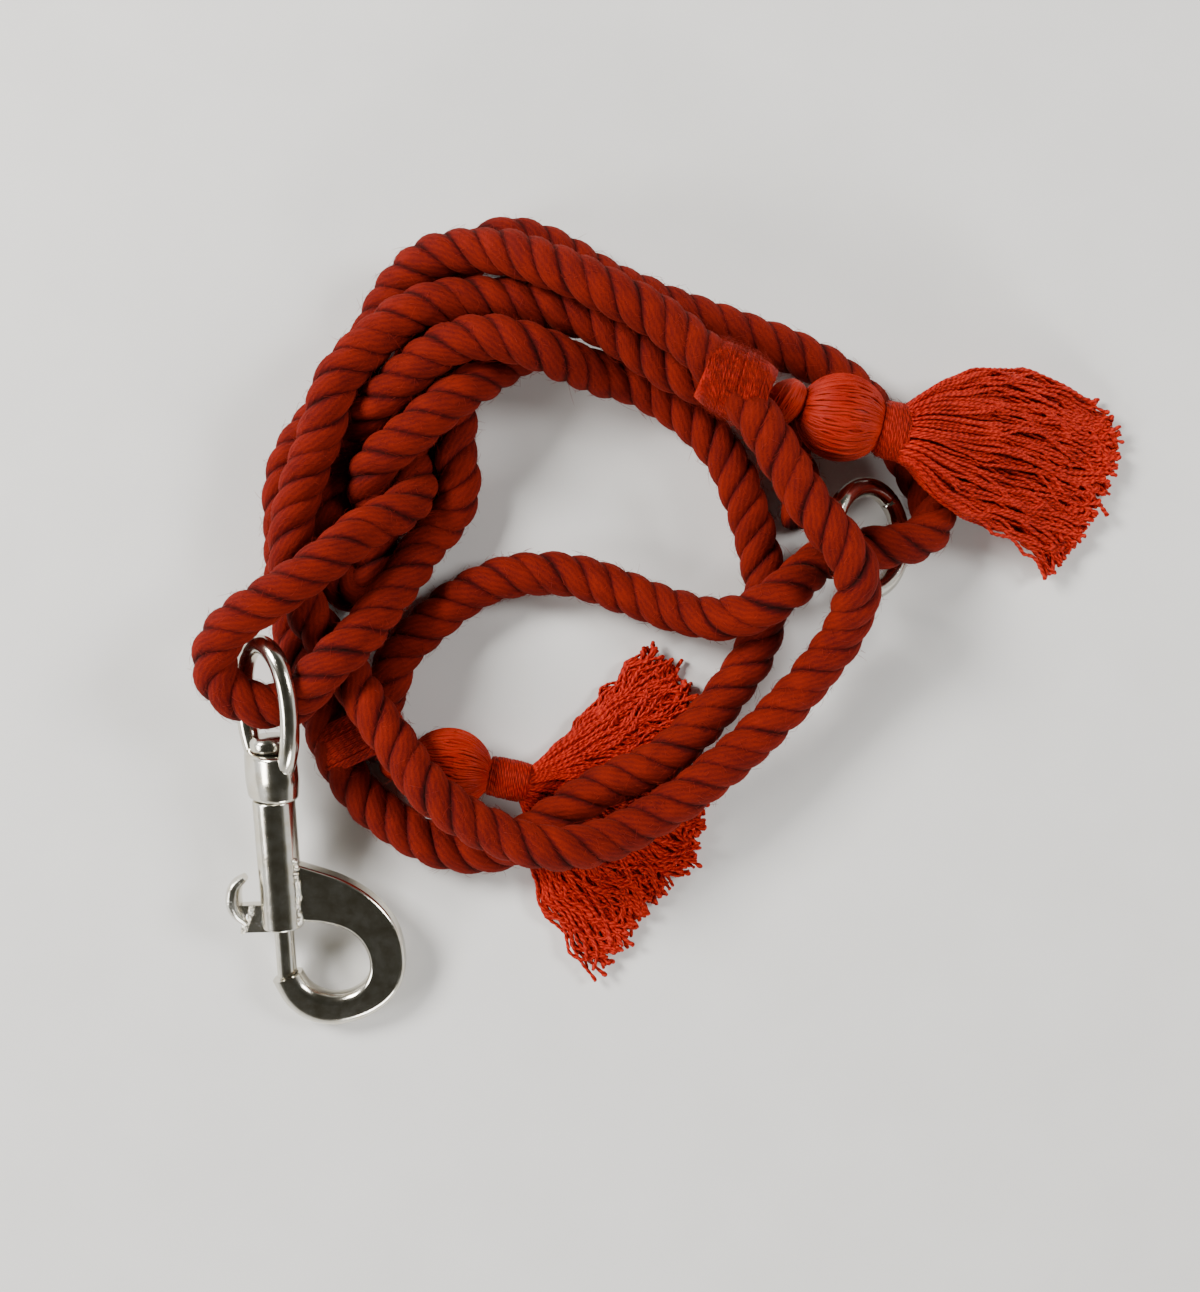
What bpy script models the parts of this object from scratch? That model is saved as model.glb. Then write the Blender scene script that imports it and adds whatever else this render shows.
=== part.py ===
"""Red cotton lead rope, coiled flat, with a bolt snap, a loose ring and two tassels. Metres, +Z up."""

import math

import bmesh
import bpy
import numpy as np
from mathutils import Euler, Vector

# Rope
ROPE_R = 0.0052
ROPE_SPACING = 0.0113
ROPE_GAP = 0.0005
FLOOR_Z = 0.0056
LINE_STEP = 0.003

# The middle of the whole object's plan, which the origin is moved to
MIDDLE = (0.018795, 0.005770)

# Bolt snap: local +Y runs from the hook to the eye, local Z is square to the flat hook
SNAP_AT = (-0.0784, -0.0366, 0.0147)
SNAP_YAW = math.radians(1.8)
SNAP_PITCH = math.radians(12)
BARREL_R = 0.0051
BARREL_LENGTH = 0.0325
CHAMBER_R = 0.0034
BOLT_R = 0.0024
BOLT_TIP_Y = -0.0457
SOCKET_R = 0.00275
HOOK_THICK = 0.005
EYE_TILT = math.radians(-46)
EYE_WIRE_R = 0.0023

# Ring
RING_AT = (0.0649, 0.0260, 0.01075)
RING_R = 0.0126
RING_WIRE_R = 0.0024
RING_TILT = math.radians(40)

# Whippings: centre, heading, length, half width, half height
HANDLE_WHIP = ((0.0319, 0.0616, 0.0227), math.radians(-24.6), 0.016, 0.0082, 0.0111)
SNAP_WHIP = ((-0.0592, -0.0222, 0.0062), math.radians(-66), 0.012, 0.0118, 0.0062)

# The rope's route in millimetres, from the loose end under the handle's tassel to the end
# inside the snap's whipping
ROUTE = [
    # loose end and first pass through the handle whipping
    (50, 31, 5.6), (49, 40, 5.6), (45.5, 50, 6.5), (38, 58.5, 13.5), (19, 65, 16), (1.5, 76, 17),
    (-16, 81.5, 16.5), (-33.5, 83, 17), (-45.5, 78.5, 18.5), (-55.5, 69, 17.5), (-63.5, 56, 18),
    (-70.5, 40.5, 17), (-74, 20, 17), (-68, 4, 14), (-61.5, -5.5, 12),
    # lower half of the handle loop, on top of the coil
    (-55, -14.5, 18.8), (-48, -24, 18.5), (-39.5, -34.5, 23), (-26, -43.5, 21), (-10, -48, 20.5),
    (5, -45, 15.5), (26.5, -31.5, 14.5), (47, -12, 13.5), (58.5, 4.5, 17.5), (59.5, 18, 26.8),
    (48.5, 33, 27),
    # outer turn
    (34, 56.5, 27), (17, 74, 25.5), (-3, 84.5, 26), (-21, 92, 21.5), (-37, 92.5, 15.5), (-49, 84.5, 8.5),
    (-59.5, 69, 5.6), (-71.5, 47, 5.6), (-77, 23, 5.6), (-75.5, 5, 5.6), (-69.5, -10.5, 5.6),
    (-66.5, -23.5, 5.6), (-56, -39.5, 5.6), (-37, -50, 5.6), (-24.5, -50, 6.5),
    # inner turn
    (-13.5, -43.5, 10), (-3, -36, 10.5), (16.5, -26.5, 9.6), (33.5, -8.5, 6.6), (41, 7.5, 5.6),
    (38, 27.5, 5.6), (28.5, 50, 5.6), (10.5, 63.5, 6.5), (-2.5, 67, 12), (-14, 70.5, 21),
    (-30, 72, 19.5), (-44.5, 64.5, 17), (-53, 56, 10.5), (-60.3, 45, 5.6), (-65, 33, 5.6),
    # hidden bight and the run back over the legs
    (-66, 19.5, 5.6), (-60.3, 12, 5.6), (-54.5, 18.5, 5.6), (-54.6, 30.5, 5.6), (-54, 40, 9.5),
    (-49.5, 48, 16.5), (-40, 58, 17), (-28, 67.5, 12), (-16, 74.5, 6.2), (-10, 81.5, 5.6),
    (-18.5, 87.5, 5.6), (-28, 79.5, 5.6), (-35.5, 64, 5.6), (-38, 47, 5.6),
    # lower leg, the bight in the snap's eye, upper leg
    (-41, 31, 5.6), (-47, 20, 10.5), (-56.5, 2.5, 19.5), (-64.5, -7, 21), (-71.5, -12.8, 17.4),
    (-79.5, -14.2, 19.4), (-86.8, -11.4, 21.8), (-91, -4.5, 23.3), (-85.5, 5, 26.3), (-73, 13, 28),
    (-60, 23.5, 24), (-52.5, 32, 16), (-49, 40, 8),
    # back run behind the coil, through the ring and across the middle
    (-49.2, 51, 5.6), (-46.5, 67, 5.6), (-41, 83, 5.6), (-34, 94.5, 5.6), (-23, 100.5, 5.6), (-11, 97, 5.6),
    (0, 90.5, 5.6), (20, 82, 5.6), (39, 75.5, 5.6), (54.5, 69, 5.6), (66, 59.5, 5.6), (78.5, 41, 5.6),
    (82.5, 31, 6), (76.5, 25.4, 11), (64, 23.5, 10), (53, 20.5, 9.6), (43.5, 12.5, 16.5), (31.5, 6.5, 14),
    (14.5, 10, 6.5), (-7.5, 17.5, 5.6), (-28, 15.5, 5.6), (-39.5, 7.5, 5.6), (-49, -1.5, 5.6),
    (-55, -9, 5.6), (-56.5, -17, 5.6), (-53.5, -25, 5.6),
]

# Where the named stretches of the rope meet, in metres along the line
SECTIONS = [
    ("rope_loose_end", 0.0),
    ("rope_handle_loop_top", 0.030),
    ("rope_handle_loop_bottom", 0.187),
    ("rope_outer_turn_top", 0.449),
    ("rope_outer_turn_bottom", 0.615),
    ("rope_inner_turn_bottom", 0.675),
    ("rope_inner_turn_top", 0.843),
    ("rope_over_legs", 0.990),
    ("rope_snap_leg_lower", 1.153),
    ("rope_snap_bight", 1.209),
    ("rope_snap_leg_upper", 1.302),
    ("rope_back_run", 1.371),
    ("rope_ring_run", 1.530),
    ("rope_cross_run", 1.639),
]


def clear_scene():
    for obj in list(bpy.data.objects):
        bpy.data.objects.remove(obj, do_unlink=True)


def material(name, colour, metallic, roughness):
    mat = bpy.data.materials.new(name)
    mat.use_nodes = True
    shader = mat.node_tree.nodes["Principled BSDF"]
    shader.inputs["Base Color"].default_value = (*colour, 1)
    shader.inputs["Metallic"].default_value = metallic
    shader.inputs["Roughness"].default_value = roughness
    return mat


def cotton(name):
    return material(name, (0.45, 0.03, 0.01), 0, 0.9)


def nickel(name):
    return material(name, (0.72, 0.71, 0.68), 1, 0.2)


def smooth_curve(points, step):
    """A centripetal Catmull-Rom curve through the points, as samples an even step apart."""
    pts = np.vstack([2 * points[0] - points[1], points, 2 * points[-1] - points[-2]])
    out = []
    for i in range(1, len(pts) - 2):
        p = pts[i - 1 : i + 3]
        t = np.concatenate([[0], np.cumsum(np.linalg.norm(np.diff(p, axis=0), axis=1) ** 0.5)])
        u = np.linspace(t[1], t[2], 24, endpoint=False)[:, None]
        a = [
            (t[k + 1] - u) / (t[k + 1] - t[k]) * p[k] + (u - t[k]) / (t[k + 1] - t[k]) * p[k + 1]
            for k in range(3)
        ]
        b = [
            (t[k + 2] - u) / (t[k + 2] - t[k]) * a[k] + (u - t[k]) / (t[k + 2] - t[k]) * a[k + 1]
            for k in range(2)
        ]
        out.append((t[2] - u) / (t[2] - t[1]) * b[0] + (u - t[1]) / (t[2] - t[1]) * b[1])
    return resample(np.vstack([*out, pts[-2][None]]), step)


def along(line):
    return np.concatenate([[0], np.cumsum(np.linalg.norm(np.diff(line, axis=0), axis=1))])


def resample(line, step):
    far = along(line)
    want = np.linspace(0, far[-1], int(round(far[-1] / step)) + 1)
    return np.column_stack([np.interp(want, far, line[:, k]) for k in range(3)])


def settle(line, rounds=240):
    """Eases passes that lie too close apart until each keeps the rope's spacing, as laid rope does."""
    start = line.copy()
    count = len(line)
    far = along(line)
    near_self = np.abs(far[:, None] - far[None]) < 0.024
    for turn in range(rounds):
        if turn % 12 == 0:
            gap = np.linalg.norm(line[:, None] - line[None], axis=2)
            gap[near_self] = 1
            i, j = np.nonzero(gap < ROPE_SPACING + 0.002)
        apart = line[i] - line[j]
        size = np.linalg.norm(apart, axis=1)
        push = apart * (np.maximum(0, ROPE_SPACING - size) / size * 0.5)[:, None]
        hits = np.maximum(1, np.bincount(i[size < ROPE_SPACING], minlength=count))
        move = np.column_stack([np.bincount(i, push[:, k], count) for k in range(3)]) / hits[:, None]
        bend = np.zeros_like(line)
        bend[2:-2] = -(line[:-4] - 4 * line[1:-3] + 6 * line[2:-2] - 4 * line[3:-1] + line[4:])
        move += 0.02 * bend + 0.004 * (start - line)
        line = line + np.clip(move, -0.0004, 0.0004)
        line[:, 2] = np.maximum(line[:, 2], FLOOR_Z)
    return line


def finish(mesh, name, mat):
    bmesh.ops.recalc_face_normals(mesh, faces=mesh.faces)
    data = bpy.data.meshes.new(name)
    mesh.to_mesh(data)
    mesh.free()
    data.materials.append(mat)
    obj = bpy.data.objects.new(name, data)
    bpy.context.scene.collection.objects.link(obj)
    return obj


def rope_tube(name, points):
    curve = bpy.data.curves.new(name, "CURVE")
    curve.dimensions = "3D"
    curve.bevel_depth = ROPE_R
    curve.bevel_resolution = 3
    curve.use_fill_caps = True
    spline = curve.splines.new("POLY")
    spline.points.add(len(points) - 1)
    for point, at in zip(spline.points, points):
        point.co = (*at, 1)
    curve.materials.append(cotton(name))
    obj = bpy.data.objects.new(name, curve)
    bpy.context.scene.collection.objects.link(obj)
    return obj


def bent_spacing(piece):
    """Points of the stretch, close together where it bends and far apart where it runs straight."""
    fine = resample(piece, 0.0015)
    first = np.gradient(fine, axis=0)
    second = np.gradient(first, axis=0)
    curl = np.linalg.norm(np.cross(first, second), axis=1) / np.linalg.norm(first, axis=1) ** 3
    curl = np.convolve(np.pad(curl, 3, mode="edge"), np.ones(7) / 7, "valid")
    step = np.clip(np.sqrt(0.0036 / np.maximum(curl, 1)), 0.006, 0.026)
    far = along(fine)
    count = np.concatenate([[0], np.cumsum(np.diff(far) / (0.5 * (step[1:] + step[:-1])))])
    want = np.linspace(0, count[-1], max(2, int(round(count[-1])) + 1))
    points = np.column_stack([np.interp(want, count, fine[:, k]) for k in range(3)])
    return np.vstack([points[:1], fine[1:2], points[1:-1], fine[-2:-1], points[-1:]])


def inside_whipping(line, whip):
    """Which samples of the line lie within a whipping, with room for the rope's slanted end."""
    centre, heading, length, half_wide, half_high = whip
    axis = np.array([math.cos(heading), math.sin(heading), 0])
    side = np.array([-math.sin(heading), math.cos(heading), 0])
    off = line - np.array(centre)
    way = np.gradient(line, axis=0)
    way /= np.linalg.norm(way, axis=1)[:, None]
    slant = ROPE_R * np.sqrt(np.maximum(0, 1 - (way @ axis) ** 2))
    across = (off @ side / half_wide) ** 2 + (off[:, 2] / half_high) ** 2
    return (np.abs(off @ axis) < length / 2 + ROPE_GAP + slant) & (across < 1.15)


def make_rope():
    line = settle(smooth_curve(np.array(ROUTE) / 1000, LINE_STEP))
    line = resample(line, 0.0005)
    far = along(line)
    covered = inside_whipping(line, HANDLE_WHIP) | inside_whipping(line, SNAP_WHIP)
    ends = [start for _, start in SECTIONS[1:]] + [far[-1] + 1]
    for (name, start), end in zip(SECTIONS, ends):
        keep = (far >= start + ROPE_GAP / 2) & (far <= end - ROPE_GAP / 2) & ~covered
        index = np.nonzero(keep)[0]
        runs = np.split(index, np.nonzero(np.diff(index) > 1)[0] + 1)
        longest = max(runs, key=len)
        rope_tube(name, bent_spacing(line[longest]))
    return line


def turned(name, profile, mat, sides=32, squash=(1, 1, 1)):
    """A solid turned about its local Y axis from (radius, y) pairs whose two ends are on the axis."""
    mesh = bmesh.new()
    rings = []
    for radius, y in profile:
        if radius == 0:
            rings.append([mesh.verts.new((0, y * squash[1], 0))])
            continue
        ring = []
        for k in range(sides):
            a = 2 * math.pi * k / sides
            x = radius * math.cos(a) * squash[0]
            z = radius * math.sin(a) * squash[2]
            ring.append(mesh.verts.new((x, y * squash[1], z)))
        rings.append(ring)
    for low, high in zip(rings, rings[1:]):
        for k in range(sides):
            n = (k + 1) % sides
            if len(low) == 1:
                mesh.faces.new((low[0], high[k], high[n]))
            elif len(high) == 1:
                mesh.faces.new((low[k], low[n], high[0]))
            else:
                mesh.faces.new((low[k], low[n], high[n], high[k]))
    return finish(mesh, name, mat)


def loft(name, sections, mat):
    """A solid through closed sections of equal point count, capped at both ends."""
    mesh = bmesh.new()
    rings = [[mesh.verts.new(point) for point in section] for section in sections]
    sides = len(rings[0])
    for low, high in zip(rings, rings[1:]):
        for k in range(sides):
            n = (k + 1) % sides
            mesh.faces.new((low[k], low[n], high[n], high[k]))
    mesh.faces.new(rings[0])
    mesh.faces.new(list(reversed(rings[-1])))
    return finish(mesh, name, mat)


def boolean(obj, other, operation):
    mod = obj.modifiers.new(operation.lower(), "BOOLEAN")
    mod.operation = operation
    mod.solver = "EXACT"
    mod.object = other
    other.hide_render = True
    other.display_type = "WIRE"
    other.parent = obj.parent


def box(name, low, high):
    mesh = bmesh.new()
    bmesh.ops.create_cube(mesh, size=1)
    centre = [(a + b) / 2 for a, b in zip(low, high)]
    size = [b - a for a, b in zip(low, high)]
    for vert in mesh.verts:
        vert.co = [c + s * v for c, s, v in zip(centre, size, vert.co)]
    return finish(mesh, name, nickel(name))


def bent_rod(name, path, radius, mat, sides=16):
    """A round rod through points in the local XY plane, square to its path at each."""
    path = [Vector(point) for point in path]
    sections = []
    for k, at in enumerate(path):
        way = (path[min(k + 1, len(path) - 1)] - path[max(k - 1, 0)]).normalized()
        side = Vector((way.y, -way.x, 0))
        sections.append(
            [
                at
                + side * (radius * math.cos(2 * math.pi * s / sides))
                + Vector((0, 0, radius * math.sin(2 * math.pi * s / sides)))
                for s in range(sides)
            ]
        )
    return loft(name, sections, mat)


def rounded_section(inner, outer, thick, power, sides=20):
    """A rounded slab section between an inner and an outer point, of a thickness along Z."""
    inner = Vector((*inner, 0))
    outer = Vector((*outer, 0))
    middle = (inner + outer) / 2
    half = (outer - inner) / 2
    points = []
    for s in range(sides):
        a = 2 * math.pi * (s + 0.5) / sides
        c = math.copysign(abs(math.cos(a)) ** power, math.cos(a))
        z = math.copysign(abs(math.sin(a)) ** power, math.sin(a))
        points.append(middle + half * c + Vector((0, 0, thick / 2 * z)))
    return points


def slab_section(inner, outer, thick, corner, steps=4):
    """A slab section with flat faces top and bottom and rounded edges, of a thickness along Z."""
    inner = Vector((*inner, 0))
    outer = Vector((*outer, 0))
    middle = (inner + outer) / 2
    half = (outer - inner).length / 2
    way = (outer - inner).normalized()
    points = []
    for quarter, (sx, sz) in enumerate([(1, 1), (-1, 1), (-1, -1), (1, -1)]):
        for k in range(steps):
            a = math.pi / 2 * (quarter + k / (steps - 1))
            x = sx * (half - corner) + corner * math.cos(a)
            z = sz * (thick / 2 - corner) + corner * math.sin(a)
            points.append(middle + way * x + Vector((0, 0, z)))
    return points


def smooth_pairs(pairs, count):
    """Evenly read stations from a smooth curve through rows of numbers."""
    rows = np.array(pairs, float)
    t = np.linspace(0, 1, len(rows))
    want = np.linspace(0, 1, count)
    tangent = np.gradient(rows, t, axis=0)
    out = []
    for x in want:
        k = min(int(np.searchsorted(t, x, side="right")) - 1, len(rows) - 2)
        h = t[k + 1] - t[k]
        s = (x - t[k]) / h
        out.append(
            (2 * s**3 - 3 * s**2 + 1) * rows[k]
            + (s**3 - 2 * s**2 + s) * h * tangent[k]
            + (3 * s**2 - 2 * s**3) * rows[k + 1]
            + (s**3 - s**2) * h * tangent[k + 1]
        )
    return out


def make_snap():
    frame = bpy.data.objects.new("snap_frame", None)
    bpy.context.scene.collection.objects.link(frame)
    frame.location = SNAP_AT
    frame.rotation_euler = Euler((SNAP_PITCH, 0, SNAP_YAW), "XYZ")
    eye_frame = bpy.data.objects.new("eye_frame", None)
    bpy.context.scene.collection.objects.link(eye_frame)
    eye_frame.parent = frame
    eye_frame.rotation_euler = (0, EYE_TILT, 0)

    # Barrel: swivel socket at the top, spring chamber below it, narrow mouth for the bolt
    body = turned(
        "snap_body",
        [
            (0, -0.003), (SOCKET_R, -0.003), (SOCKET_R, 0), (BARREL_R - 0.0006, 0),
            (BARREL_R, -0.0006), (BARREL_R, -BARREL_LENGTH + 0.0006), (BARREL_R - 0.0006, -BARREL_LENGTH),
            (BOLT_R + 0.0003, -BARREL_LENGTH), (BOLT_R + 0.0003, -0.0295), (CHAMBER_R, -0.0295),
            (CHAMBER_R, -0.0043), (0, -0.0043),
        ],
        nickel("snap_body"),
        sides=40,
    )
    body.parent = frame

    # Flat crescent hook, as (inner x, inner y, outer x, outer y, thickness) in millimetres
    crescent = [
        (4.2, -31, 4.2, -16.2, 5.0), (10, -31.6, 15.5, -20.6, 5.0), (15, -33.2, 22.8, -25.8, 5.0),
        (18.4, -36, 27.6, -32.6, 5.0), (20.3, -40, 29.3, -40.2, 5.0), (20.5, -44, 28.4, -47.2, 5.2),
        (18.9, -47.4, 24.6, -53, 5.5), (15.6, -49.7, 18.2, -57.1, 5.7), (11.6, -50.3, 10.6, -58.7, 5.8),
        (7.9, -49.3, 4.2, -57, 6.1), (5.2, -47.2, -0.6, -52.8, 6.5), (3.7, -44.4, -3.6, -46.6, 6.8),
    ]
    stations = smooth_pairs(crescent, 28)
    sections = []
    for k, (ix, iy, ox, oy, thick) in enumerate(stations):
        part = k / (len(stations) - 1)
        corner = thick / 1000 * (0.24 + 0.2 * max(0, part - 0.4) / 0.6)
        inner = (ix / 1000, iy / 1000)
        outer = (ox / 1000, oy / 1000)
        sections.append(slab_section(inner, outer, thick / 1000, corner))
    hook = loft("hook_blank", sections, nickel("hook_blank"))
    boolean(body, hook, "UNION")
    bore_clear = turned(
        "chamber_cutter",
        [(0, -0.0043), (CHAMBER_R, -0.0043), (CHAMBER_R, -0.0295), (BOLT_R + 0.0003, -0.0295),
         (BOLT_R + 0.0003, -0.034), (0, -0.034)],
        nickel("chamber_cutter"),
        sides=40,
    )
    boolean(body, bore_clear, "DIFFERENCE")
    slot = box("slot_cutter", (-0.008, -0.036, -0.0018), (0, -0.0125, 0.0018))
    boolean(body, slot, "DIFFERENCE")
    cup = turned(
        "cup_cutter",
        [(0, -0.0460), (0.0027, -0.0460), (0.0027, -0.0435), (0, -0.0435)],
        nickel("cup_cutter"),
        sides=24,
    )
    boolean(body, cup, "DIFFERENCE")

    stud = turned(
        "snap_swivel_stud",
        [(0, -0.0027), (0.0024, -0.0027), (0.0024, 0.0121), (0.0040, 0.0121), (0.0045, 0.0127),
         (0.0045, 0.0145), (0.0036, 0.0156), (0, 0.0158)],
        nickel("snap_swivel_stud"),
    )
    stud.parent = frame

    eye = turned(
        "snap_swivel_eye",
        [(0, 0.0004), (0.0072, 0.0004), (0.0079, 0.0011), (0.0081, 0.0058), (0.0079, 0.0108),
         (0.0072, 0.0117), (0, 0.0117)],
        nickel("snap_swivel_eye"),
        sides=36,
        squash=(1, 1, 0.68),
    )
    eye.parent = eye_frame
    half = [(-5.6, 8), (-7.6, 11.4), (-9.1, 16), (-9.7, 22), (-9.1, 28.5), (-6.9, 33.8), (-3.6, 36.8)]
    bow = half + [(0, 37.8)] + [(-x, y) for x, y in reversed(half)]
    path = [(x / 1000, y / 1000, 0) for x, y in smooth_pairs(bow, 41)]
    boolean(eye, bent_rod("bow_blank", path, EYE_WIRE_R, nickel("bow_blank")), "UNION")
    bore = turned(
        "eye_bore_cutter",
        [(0, -0.001), (SOCKET_R, -0.001), (SOCKET_R, 0.0119), (0, 0.0119)],
        nickel("eye_bore_cutter"),
        sides=32,
    )
    boolean(eye, bore, "DIFFERENCE")

    bolt = turned(
        "snap_bolt",
        [(0, -0.0245), (0.0031, -0.0245), (0.0031, -0.0262), (BOLT_R, -0.0262),
         (BOLT_R, BOLT_TIP_Y + 0.0006), (BOLT_R - 0.0006, BOLT_TIP_Y), (0, BOLT_TIP_Y)],
        nickel("snap_bolt"),
    )
    bolt.parent = frame

    # Thumb trigger: an arm through the slot and a curved knob outside it
    arm = box("snap_thumb_trigger", (-0.0096, -0.0336, -0.0013), (-0.00275, -0.0266, 0.0013))
    arm.parent = frame
    arc = [(-8.4, -19.6), (-10.7, -21.6), (-11.6, -25), (-10.9, -28.6), (-8.6, -31.4)]
    sections = []
    for k, (x, y) in enumerate(smooth_pairs(arc, 13)):
        spread = 0.45 + 0.55 * math.sin(math.pi * (k + 1) / 14)
        ahead = Vector((x + 4, y + 25.5)).normalized() * (1.8 * spread / 1000)
        at = Vector((x / 1000, y / 1000))
        sections.append(rounded_section(at - ahead, at + ahead, 0.0068 * spread, 0.8, sides=16))
    boolean(arm, loft("knob_blank", sections, nickel("knob_blank")), "UNION")

    # Return spring in the chamber, closed and round in section
    turns = 6
    path = []
    for k in range(turns * 14 + 1):
        a = 2 * math.pi * k / 14
        y = -0.0052 - 0.0184 * k / (turns * 14)
        path.append(Vector((0.0027 * math.cos(a), y, 0.0027 * math.sin(a))))
    sections = []
    for k, at in enumerate(path):
        way = (path[min(k + 1, len(path) - 1)] - path[max(k - 1, 0)]).normalized()
        out = Vector((at.x, 0, at.z)).normalized()
        up = way.cross(out).normalized()
        section = []
        for s in range(6):
            b = 2 * math.pi * s / 6
            section.append(at + 0.00038 * (out * math.cos(b) + up * math.sin(b)))
        sections.append(section)
    spring = loft("snap_spring", sections, nickel("snap_spring"))
    spring.parent = frame


def make_ring():
    mesh = bmesh.new()
    rows = []
    around, across = 48, 14
    for k in range(around):
        a = 2 * math.pi * k / around
        row = []
        for s in range(across):
            b = 2 * math.pi * s / across
            r = RING_R + RING_WIRE_R * math.cos(b)
            row.append(mesh.verts.new((r * math.cos(a), r * math.sin(a), RING_WIRE_R * math.sin(b))))
        rows.append(row)
    for k in range(around):
        for s in range(across):
            a, b = rows[k], rows[(k + 1) % around]
            n = (s + 1) % across
            mesh.faces.new((a[s], b[s], b[n], a[n]))
    ring = finish(mesh, "loose_ring", nickel("loose_ring"))
    ring.location = RING_AT
    ring.rotation_euler = (0, RING_TILT, 0)


def make_whipping(name, whip):
    centre, heading, length, half_wide, half_high = whip
    half = length / 2
    profile = [(0, -half), (0.9, -half), (0.98, -half + 0.0009), (1, -half + 0.003), (1, half - 0.003)]
    profile += [(0.98, half - 0.0009), (0.9, half), (0, half)]
    obj = turned(name, profile, cotton(name), sides=40, squash=(half_wide, 1, half_high))
    obj.location = centre
    obj.rotation_euler = (0, 0, heading - math.pi / 2)
    return obj


def ball(name, profile, sides, squash, centre, heading):
    """A bound head, knot or neck of a tassel, turned about its heading in plan."""
    obj = turned(name, profile, cotton(name), sides, squash)
    obj.location = centre
    obj.rotation_euler = (0, 0, heading - math.pi / 2)


def oval(half, cut_low, cut_high):
    """A unit-radius profile of an oval of a half length, cut off flat at two heights."""
    rows = [(0, cut_low)]
    for k in range(15):
        y = cut_low + (cut_high - cut_low) * k / 14
        rows.append((math.sqrt(max(0.04, 1 - (y / half) ** 2)), y))
    return rows + [(0, cut_high)]


def fan(name, hub, rays, top, bottom):
    """A tassel's spread skirt. Each ray is (degrees, reach); top and bottom give its heights."""
    mesh = bmesh.new()
    rows = smooth_pairs(rays, 28)
    steps = 13
    uppers = []
    lowers = []
    for degrees, reach in rows:
        a = math.radians(degrees)
        upper = []
        lower = []
        for k in range(steps + 1):
            r = 0.0012 + (reach / 1000 - 0.0012) * k / steps
            x = hub[0] + r * math.cos(a)
            y = hub[1] + r * math.sin(a)
            low = bottom(x, y, r)
            upper.append(mesh.verts.new((x, y, max(top(x, y, r), low + 0.0012))))
            lower.append(mesh.verts.new((x, y, low)))
        uppers.append(upper)
        lowers.append(lower)
    for up, low, next_up, next_low in zip(uppers, lowers, uppers[1:], lowers[1:]):
        for k in range(steps):
            mesh.faces.new((up[k], up[k + 1], next_up[k + 1], next_up[k]))
            mesh.faces.new((low[k], next_low[k], next_low[k + 1], low[k + 1]))
        mesh.faces.new((up[steps], low[steps], next_low[steps], next_up[steps]))
        mesh.faces.new((up[0], next_up[0], next_low[0], low[0]))
    for up, low in ((uppers[0], lowers[0]), (uppers[-1], lowers[-1])):
        for k in range(steps):
            mesh.faces.new((up[k], low[k], low[k + 1], up[k + 1]))
    return finish(mesh, name, cotton(name))


def over_rope(line, x, y):
    """The height that clears every pass of the rope near a plan point, or zero where there is none."""
    near = np.hypot(line[:, 0] - x, line[:, 1] - y)
    close = near < 0.0075
    if not close.any():
        return 0.0
    dome = np.sqrt(np.maximum(0, 0.0075**2 - near[close] ** 2)) * 0.85
    return float((line[close, 2] + dome).max())


def under_rope(line, x, y):
    """The height below every pass of the rope near a plan point, or a high one where there is none."""
    near = np.hypot(line[:, 0] - x, line[:, 1] - y)
    close = near < 0.0065
    if not close.any():
        return 1.0
    dome = np.sqrt(np.maximum(0, 0.0056**2 - near[close] ** 2))
    return float((line[close, 2] - dome).min()) - 0.0004


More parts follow.
